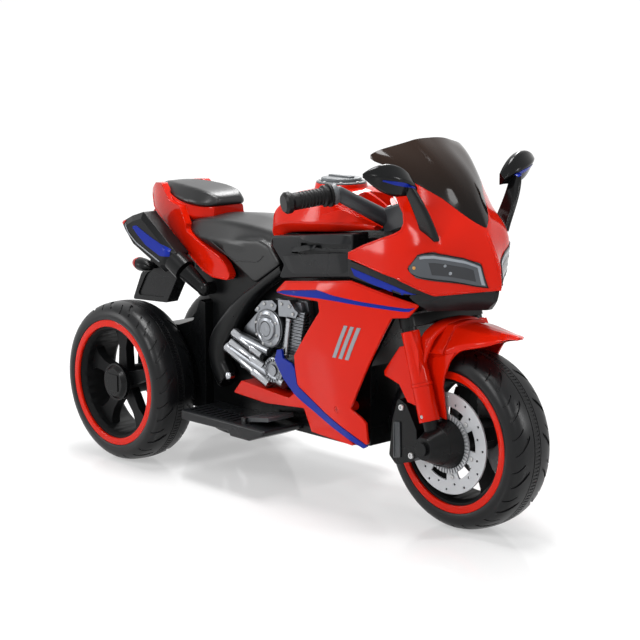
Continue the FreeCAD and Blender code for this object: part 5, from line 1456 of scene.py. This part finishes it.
@dataclass
class EngineBay:
    """Bright pipes, round covers and screws on the dummy engines, and the curled frame bars."""

    outer: float = -94.0
    pipes: tuple[tuple[Pair, Pair, float], ...] = (
        ((-118, 260), (-42, 230), 9.6), ((-125, 241.5), (-38, 211), 9.0), ((-136, 232), (-24, 183), 10.8))
    pipe_inset: Pair = (11, 9.5)
    push_rod: Outline = ((29.5, 306), (19.5, 238))
    push_rod_inset: float = 5
    clutch: Pair = (-25, 280.5)
    clutch_inset: float = 6.5
    clutch_profile: Outline = ((32, 0), (32.6, 2.2), (30, 4.4), (24.5, 5.2), (22.5, 3.6), (20.5, 3.6),
                               (19, 6.4), (13.5, 7.4), (12.5, 5.6), (6, 5.2), (5, 6.6), (0, 7.2))
    clutch_screw: Place = (27.2, -4.4, 0)
    clutch_screw_mm: Pair = (2.3, 1.8)
    clutch_screw_count: int = 8
    clutch_screw_start: float = 0.3
    gear: Pair = (-8, 211)
    gear_inset: float = 3.5
    gear_profile: Outline = ((21.5, 0), (22.5, 1.5), (20, 3), (16, 3), (15, 1.6), (10, 1.6), (9.4, 4.2),
                             (3, 4.8), (0, 4.4))
    gear_steps: int = 72
    gear_band: Pair = (16.5, 19.5)
    gear_tooth_mm: float = 1.5
    fin_count: int = 13
    fin_foot: float = 246.4
    fin_pitch: float = 5.6
    fin_start: Pair = (8, 243)
    fin_lean: float = 0.19
    fin_mm: float = 1.3
    fin_round_mm: float = 1.5
    fin_plan: Outline = ((-0.5, -80), (42.5, -80), (42.5, -87.4), (-0.5, -87.4))
    rocker_screws: tuple[Place, ...] = ((-50, 312, 6), (-34, 322, 6), (-14, 322, 6), (12, 328, 4),
                                        (32, 326, 4), (40, 314, 4))
    rocker_screw_mm: Pair = (2.8, 2.0)
    spar: Outline = ((11, 386.5), (-55, 344.5), (-98, 311.5), (-144, 261), (-162.5, 231), (-162.5, 201),
                     (-148, 176), (-142, 170.5))
    spar_mm: tuple[float, ...] = (8.2, 9.0, 14.6, 20.6, 22.3, 20.6, 21.5, 14.0)
    spar_middle: float = -77.2
    spar_deep_mm: float = 16.6
    spar_power: float = 0.75
    spar_steps: int = 28
    knob: Pair = (-129, 181)
    knob_inset: float = 4
    knob_profile: Outline = ((8.5, -9), (8.5, 0), (7.6, 2.2), (5, 4), (0, 4.8))

    def build(self) -> None:
        """Build the pieces."""
        self._pipes()
        self._round_covers()
        self._fins()
        heads = [(self._at((x, z), inset), *self.rocker_screw_mm) for x, z, inset in self.rocker_screws]
        screws("rocker_screws", RIGHT, heads)
        self._spars()

    def _at(self, spot: Pair, inset: float) -> Vector:
        """Place in the side view, some millimetres inside the engine's outer face."""
        return mm(spot[0], self.outer + inset, spot[1])

    def _pipes(self) -> None:
        """Bright pipes with rolled ends, and the push-rod tube."""
        made = []
        for number, (start, stop, r) in enumerate(self.pipes):
            a, b = self._at(start, self.pipe_inset[0]), self._at(stop, self.pipe_inset[1])
            length = (b - a).length / MM
            profile = [(r * 0.5, 3), (r * 0.8, 2), (r * 0.86, 0), (r, 0.8), (r, 5), (r * 0.93, 7),
                       (r * 0.93, length * 0.62), (r, length * 0.64), (r, length * 0.7),
                       (r * 0.9, length * 0.72), (r * 0.86, length)]
            made.append(turned(f"engine_pipe_{number}", profile, a, b - a, 28))
        a, b = (self._at(end, self.push_rod_inset) for end in self.push_rod)
        length = (b - a).length / MM
        profile = [(6, 0), (6, 5), (4.9, 6), (4.9, length - 6), (6, length - 5), (6, length)]
        made.append(turned("push_rod_tube", profile, a, b - a, 24))
        fit(join("engine_pipes", made), PIPE_ABS, "silver_metallic_abs", 40)

    def _round_covers(self) -> None:
        """Dished clutch cover with a ring of screws, and the toothed cover below it."""
        foot = self._at(self.clutch, self.clutch_inset)
        cover = turned("clutch_covers", self.clutch_profile, foot, RIGHT, 64)
        fit(cover, SILVER_ABS, "silver_metallic_abs", 35)
        screws("clutch_cover_screws", RIGHT, [(foot + mm(*self.clutch_screw), *self.clutch_screw_mm)],
               ring=about(foot, "Y", self.clutch_screw_count, self.clutch_screw_start))
        foot = self._at(self.gear, self.gear_inset)
        gear = turned("gear_covers", self.gear_profile, foot, RIGHT, self.gear_steps)
        raise_teeth(gear, foot, self.gear_steps, 4, self.gear_band, self.gear_tooth_mm)
        fit(gear, SILVER_ABS, "silver_metallic_abs", 32)

    def _fins(self) -> None:
        """Thin cooling fins between the moulded ones of the front cylinder, which leans forward."""
        blades = []
        for number in range(self.fin_count):
            z = self.fin_foot + number * self.fin_pitch
            x = self.fin_start[0] + (z - self.fin_start[1]) * self.fin_lean
            corners = [mm(x + fore, y, z) for fore, y in self.fin_plan]
            blades.append(plate(f"cooling_fin_{number}", corners, UP * (self.fin_mm * MM),
                                self.fin_round_mm))
        fit(join("cooling_fins", blades), SILVER_ABS, "silver_metallic_abs", 35)

    def _spars(self) -> None:
        """Curled frame bar on each side, rounded like a thick tube, with a bright knob at its foot."""
        def section(point: Vector, way: Vector, wide: float) -> list[Vector]:
            """Ring between an ellipse and a box.

            Args:
                point: place on the line.
                way: the line's direction there.
                wide: half of its width in metres.

            Returns:
                The ring's points.
            """
            normal = way.cross(LEFT)
            ring = []
            for step in range(self.spar_steps):
                angle = 2 * math.pi * step / self.spar_steps
                c, d = (math.copysign(abs(number) ** self.spar_power, number)
                        for number in (math.cos(angle), math.sin(angle)))
                ring.append(point + normal * (c * wide) + LEFT * (d * self.spar_deep_mm * MM))
            return ring

        path = [mm(x, self.spar_middle, z) for x, z in self.spar]
        bar = sweep("curled_frame_bars", path, self.spar_mm, section)
        fit(bar, BLACK_PP, slot_of("frame_spars"), 50, nodes=["frame_spars"])
        knob = turned("frame_bar_knobs", self.knob_profile, self._at(self.knob, self.knob_inset), RIGHT, 28)
        fit(knob, CHROME_ABS, "silver_metallic_abs", 50)


@dataclass
class Tail:
    """Seat, pillion pad, silencer trim, lamp, indicator lenses and the details of the back."""

    voxel_mm: float = 3.0
    crease: Outline = ((-236, 424), (-182, 408), (-139, 391), (-121, 385), (-89, 387), (-63, 390), (-47, 401))
    crease_mm: float = 1.1
    insert_columns: int = 40
    insert_mm: float = 0.8
    inserts: tuple[tuple[str, Outline, Outline, int, Finish, str], ...] = (
        ("silencer_inserts", ((-358, 425), (-349, 427), (-309, 411), (-268, 397), (-256, 392)),
         ((-358, 421), (-347, 412), (-321, 394), (-281, 379), (-258, 380)), 4, BLUE_ABS, "blue_gloss_abs"),
        ("silencer_edges", ((-381, 428), (-371, 412), (-347, 396), (-282, 369.5)),
         ((-383.5, 426.5), (-373, 410), (-348, 393.5), (-283, 367.5)), 2, SILVER_ABS, "silver_metallic_abs"),
        ("silencer_tips", ((-403, 430), (-395, 433), (-386, 436.5)),
         ((-402, 426.5), (-396, 425), (-391, 424)), 3, RED_ABS, "red_gloss_abs"))
    pod: Place = (-404, -60, 343)
    pod_mm: Place = (26.7, 15.7, 12.7)
    pod_tilt: float = math.radians(8.0)
    lens_cut: Place = (-411, -60, 343)
    lens_cut_way: Place = (1, 0, 0.25)
    rib_count: int = 9
    rib_pitch: float = 4.6
    rib_ends: Pair = (411.0, 443.0)
    rib_half: float = 1.1
    rib_mm: float = 1.3
    rib_round_mm: float = 0.5
    hanger_foot: Place = (-493.5, 0, 270)
    hanger_head: Place = (-477.5, 0, 302)
    hanger_half: float = 10.5
    hanger_back: Place = (-0.894, 0, 0.447)
    hanger_mm: float = 2.4
    hanger_round_mm: float = 3.0
    hanger_rim_mm: Pair = (1.6, 0.8)
    wall_back: Place = (-0.998, 0, 0.06)
    wall_foot: Pair = (-398, 230)
    wall_slope: float = 0.06
    cover_sink: float = -0.2
    cover_mm: float = 2.6
    cover_round_mm: float = 8.0
    cover_face: float = 2.2
    cover_rib_mm: float = 2.4
    cover_rib_round_mm: float = 1.8
    cover_screw_mm: Pair = (3.4, 2.4)
    cover: Outline = ((-58, 148), (58, 148), (58, 216), (-58, 216))
    cover_ribs: tuple[float, ...] = (160, 170, 180, 190, 200)
    cover_rib: Outline = ((-40, 0), (40, 0), (40, 4), (-40, 4))
    cover_screws: Outline = ((-49, 156), (49, 156), (49, 208), (-49, 208))

    def build(self, skins: dict[str, Piece]) -> None:
        """Build the pieces.

        Args:
            skins: the shown shells by node.
        """
        self._crease(self._moulding("seat", 7))
        self._moulding("pillion_pad", 6)
        for name, top, foot, rows, finish, slot in self.inserts:
            strip = laid_ribbon(name, top, foot, skins["exhausts"], self.insert_columns, rows, self.insert_mm)
            fit(strip, finish, slot)
        self._lenses()
        self._lamp_ribs(skins["tail_lamp"])
        self._hanger_reflector()
        self._rear_cover()

    def _moulding(self, node: str, passes: int) -> Piece:
        """Softened copy of a seat moulding, remeshed and smoothed so that its edges roll.

        Args:
            node: the CAD node.
            passes: how often it is smoothed.

        Returns:
            The moulding.
        """
        piece = merged_copy(node, f"{node}_moulding")
        apply_modifier(piece, "REMESH", {"mode": "VOXEL", "voxel_size": self.voxel_mm * MM})
        apply_modifier(piece, "SMOOTH", {"factor": 0.5, "iterations": passes})
        return fit(piece, SEAT_PP, "black_seat_moulding", 80, pair=False, nodes=[node])

    def _crease(self, seat: Piece) -> None:
        """Raised bead along the line between the saddle and its flap.

        Args:
            seat: the seat moulding.
        """
        spots = [right_side(seat, mm(x, CLEAR_MM, z)) for x, z in self.crease]
        path = [spot[0] for spot in spots if spot]
        line = bead("seat_beads", path, self.crease_mm, self.crease_mm, 10)
        fit(line, SEAT_PP, "black_seat_moulding", 60)

    def _lenses(self) -> None:
        """Red lens over the rear of each indicator pod."""
        bpy.ops.object.select_all(action="DESELECT")
        bpy.ops.mesh.primitive_uv_sphere_add(segments=40, ring_count=20, radius=1.0)
        lens = bpy.context.object
        lens.name = "indicator_lenses"
        size = Matrix.Diagonal((*mm(*self.pod_mm), 1.0))
        lens.data.transform(Matrix.Translation(mm(*self.pod)) @ Matrix.Rotation(self.pod_tilt, 4, "Y") @ size)
        with editing(lens):
            bpy.ops.mesh.bisect(plane_co=mm(*self.lens_cut), plane_no=self.lens_cut_way, use_fill=True,
                                clear_outer=True)
        outward(lens)
        fit(lens, RED_LENS, "red_lens", 40)

    def _lamp_ribs(self, lamp: Piece) -> None:
        """Upright ribs on the tail lamp's lens.

        Args:
            lamp: the tail lamp.
        """
        ribs = []
        half = LEFT * (self.rib_half * MM)
        for number in range(self.rib_count):
            y = (number - self.rib_count // 2) * self.rib_pitch
            casts = [lamp.ray_cast(mm(-600, y, z), Vector((1, 0, 0))) for z in self.rib_ends]
            if all(cast[0] for cast in casts):
                foot, head = (cast[1] for cast in casts)
                corners = [foot - half, foot + half, head + half, head - half]
                ribs.append(plate(f"tail_lamp_rib_{number}", corners, mm(-self.rib_mm, 0, 0),
                                  self.rib_round_mm))
        comb = join("tail_lamp_ribs", ribs)
        soften(comb, 0.4, 2)
        fit(comb, RED_LENS, "red_lens", pair=False)

    def _hanger_reflector(self) -> None:
        """Red reflector with a rim on the back edge of the plate hanger."""
        foot, head, back = mm(*self.hanger_foot), mm(*self.hanger_head), Vector(self.hanger_back)
        half = LEFT * (self.hanger_half * MM)
        corners = [foot - half, foot + half, head + half, head - half]
        pad = plate("hanger_reflector", corners, back * (self.hanger_mm * MM), self.hanger_round_mm)
        recess(pad, back, *self.hanger_rim_mm)
        soften(pad, 0.4, 2)
        fit(pad, RED_LENS, "red_lens", pair=False)

    def _rear_cover(self) -> None:
        """Ribbed cover with four screws on the back of the axle housing."""
        back = Vector(self.wall_back)

        def at(y: float, z: float, out: float) -> Vector:
            """Place off the housing's sloping back wall, in metres."""
            x, middle = self.wall_foot
            return mm(x - (middle - z) * self.wall_slope, y, z) + back * (out * MM)

        slot = slot_of("rear_axle_housing")
        corners = [at(y, z, self.cover_sink) for y, z in self.cover]
        lid = plate("rear_cover", corners, back * (self.cover_mm * MM), self.cover_round_mm)
        soften(lid, 0.9)
        fit(lid, BLACK_PP, slot, pair=False)
        bars = []
        for foot in self.cover_ribs:
            corners = [at(y, foot + rise, self.cover_face) for y, rise in self.cover_rib]
            bars.append(plate(f"rear_cover_rib_{foot}", corners, back * (self.cover_rib_mm * MM),
                              self.cover_rib_round_mm))
        ribs = join("rear_cover_ribs", bars)
        soften(ribs, 0.7, 2)
        fit(ribs, BLACK_PP, slot, pair=False)
        heads = [(at(y, z, self.cover_face), *self.cover_screw_mm) for y, z in self.cover_screws]
        screws("rear_cover_screws", back, heads, pair=False)


@dataclass
class Studio:
    """Pale floor, soft lamps and the camera at the photograph's angle. Lamps: place, size and watts."""

    azimuth: float = 46.945
    elevation: float = 9.995
    distance: float = 3.1766
    target: Place = (0.0, 0.0, 0.330)
    lens_mm: float = 104.17
    sensor_mm: float = 36.0
    shift: Pair = (0.0061, -0.0385)
    world_light: float = 0.2
    floor_glow: float = 1.22
    floor_gloss: float = 0.16
    floor_size: float = 80
    floor_roughness: float = 0.1
    floor_fade: dict[str, float] = field(default_factory=lambda: {
        "From Min": 0.75, "From Max": 1.5, "To Min": 0.34, "To Max": 0.83})
    lamps: tuple[tuple[str, Place, Pair, float], ...] = (
        ("key_softbox", (0.2, -2.6, 2.0), (0.35, 1.6), 34.0),
        ("side_softbox", (2.9, 1.3, 1.5), (0.3, 1.3), 24.0),
        ("top_softbox", (-0.2, 0.1, 2.8), (0.5, 1.8), 62.0),
        ("front_softbox", (2.6, -1.3, 2.2), (0.25, 1.2), 14.0),
        ("rim_softbox", (-1.3, 1.6, 2.1), (0.3, 1.6), 26.0),
        ("flank_softbox", (-2.0, -1.9, 0.9), (0.4, 1.0), 14.0))

    def build(self) -> None:
        """Set up camera, world, floor and lamps."""
        self._camera()
        self._world()
        self._floor()
        for lamp in self.lamps:
            self._lamp(*lamp)
        bpy.context.scene.view_settings.view_transform = "Standard"

    def _camera(self) -> None:
        """Add the camera and make it the scene's."""
        turn, rise = math.radians(self.azimuth), math.radians(self.elevation)
        back = Vector((math.sin(turn) * math.cos(rise), -math.cos(turn) * math.cos(rise), math.sin(rise)))
        data = bpy.data.cameras.new("photo_camera")
        data.sensor_width = self.sensor_mm
        data.lens = self.lens_mm
        data.shift_x, data.shift_y = self.shift
        camera = bpy.data.objects.new("photo_camera", data)
        camera.location = Vector(self.target) + back * self.distance
        camera.rotation_euler = back.to_track_quat("Z", "Y").to_euler()
        bpy.context.scene.collection.objects.link(camera)
        bpy.context.scene.camera = camera

    def _seen(self, tree: Tree, seen: float, unseen: float) -> Socket:
        """Value for rays that show the background, and another for rays that only light.

        Args:
            tree: node tree that gets the nodes.
            seen: value for camera, glossy and transmission rays.
            unseen: value for all other rays.

        Returns:
            The chosen value.
        """
        path = add_node(tree, "ShaderNodeLightPath")
        shown = path.outputs["Is Camera Ray"]
        for ray in ("Is Transmission Ray", "Is Glossy Ray"):
            shown = add_node(tree, "ShaderNodeMath", {"operation": "MAXIMUM"},
                             {0: shown, 1: path.outputs[ray]}).outputs[0]
        return add_node(tree, "ShaderNodeMapRange", {"To Min": unseen, "To Max": seen},
                        {"Value": shown}).outputs[0]

    def _world(self) -> None:
        """White to the eye and in reflections, softer as light."""
        world = bpy.data.worlds.new("studio")
        world.use_nodes = True
        tree = world.node_tree
        tree.nodes.clear()
        strength = self._seen(tree, 1.0, self.world_light)
        sky = add_node(tree, "ShaderNodeBackground", {"Color": WHITE}, {"Strength": strength})
        add_node(tree, "ShaderNodeOutputWorld", links={"Surface": sky.outputs[0]})
        bpy.context.scene.world = world

    def _floor(self) -> None:
        """Add the pale floor, which keeps the bike's soft shadow and fades to white."""
        bpy.ops.object.select_all(action="DESELECT")
        bpy.ops.mesh.primitive_plane_add(size=self.floor_size)
        floor = bpy.context.object
        floor.name = "pale_floor"
        material = bpy.data.materials.new("pale_paper_floor")
        material.use_nodes = True
        tree = material.node_tree
        tree.nodes.clear()
        paper = add_node(tree, "ShaderNodeBsdfDiffuse", {"Color": linear("#f4f4f4")})
        white = add_node(tree, "ShaderNodeEmission", {"Color": WHITE, "Strength": self.floor_glow})
        sheen = add_node(tree, "ShaderNodeBsdfGlossy", {"Roughness": self.floor_roughness})
        glazed = add_node(tree, "ShaderNodeMixShader", {0: self.floor_gloss},
                          {1: paper.outputs[0], 2: sheen.outputs[0]})
        place = add_node(tree, "ShaderNodeTexCoord").outputs["Object"]
        away = add_node(tree, "ShaderNodeVectorMath", {"operation": "LENGTH"}, {0: place}).outputs["Value"]
        fade = add_node(tree, "ShaderNodeMapRange", self.floor_fade, {"Value": away}).outputs[0]
        shown = self._seen(tree, 1.0, 0.0)
        share = add_node(tree, "ShaderNodeMath", {"operation": "MULTIPLY"}, {0: fade, 1: shown}).outputs[0]
        mixed = add_node(tree, "ShaderNodeMixShader",
                         links={0: share, 1: glazed.outputs[0], 2: white.outputs[0]})
        add_node(tree, "ShaderNodeOutputMaterial", links={"Surface": mixed.outputs[0]})
        floor.data.materials.append(material)

    def _lamp(self, name: str, place: Place, size: Pair, power: float) -> None:
        """Add a strip softbox that points at the bike.

        Args:
            name: the lamp's name.
            place: where it hangs.
            size: its width and height in metres.
            power: its power in watts.
        """
        data = bpy.data.lights.new(name, "AREA")
        data.shape = "RECTANGLE"
        data.size, data.size_y = size
        data.energy = power
        lamp = bpy.data.objects.new(name, data)
        lamp.location = place
        lamp.rotation_euler = (Vector(place) - Vector(self.target)).to_track_quat("Z", "Y").to_euler()
        bpy.context.scene.collection.objects.link(lamp)


def main() -> None:
    """Build the bike's looks and the studio."""
    bodywork = Bodywork()
    bodywork.build()
    for stem, body, middle in (("front", "front_wheel", tuple(FRONT_AXLE)),
                               ("rear_right", "rear_right_wheel", (-355.0, -130.0, 145.0)),
                               ("rear_left", "rear_left_wheel", (-355.0, 130.0, 145.0))):
        Wheel(stem, body, middle).build()
    Nose().build(bodywork.skins)
    Controls().build(bodywork.skins)
    FrontEnd().build()
    EngineBay().build()
    Tail().build(bodywork.skins)
    Studio().build()


if __name__ == "__main__":
    main()
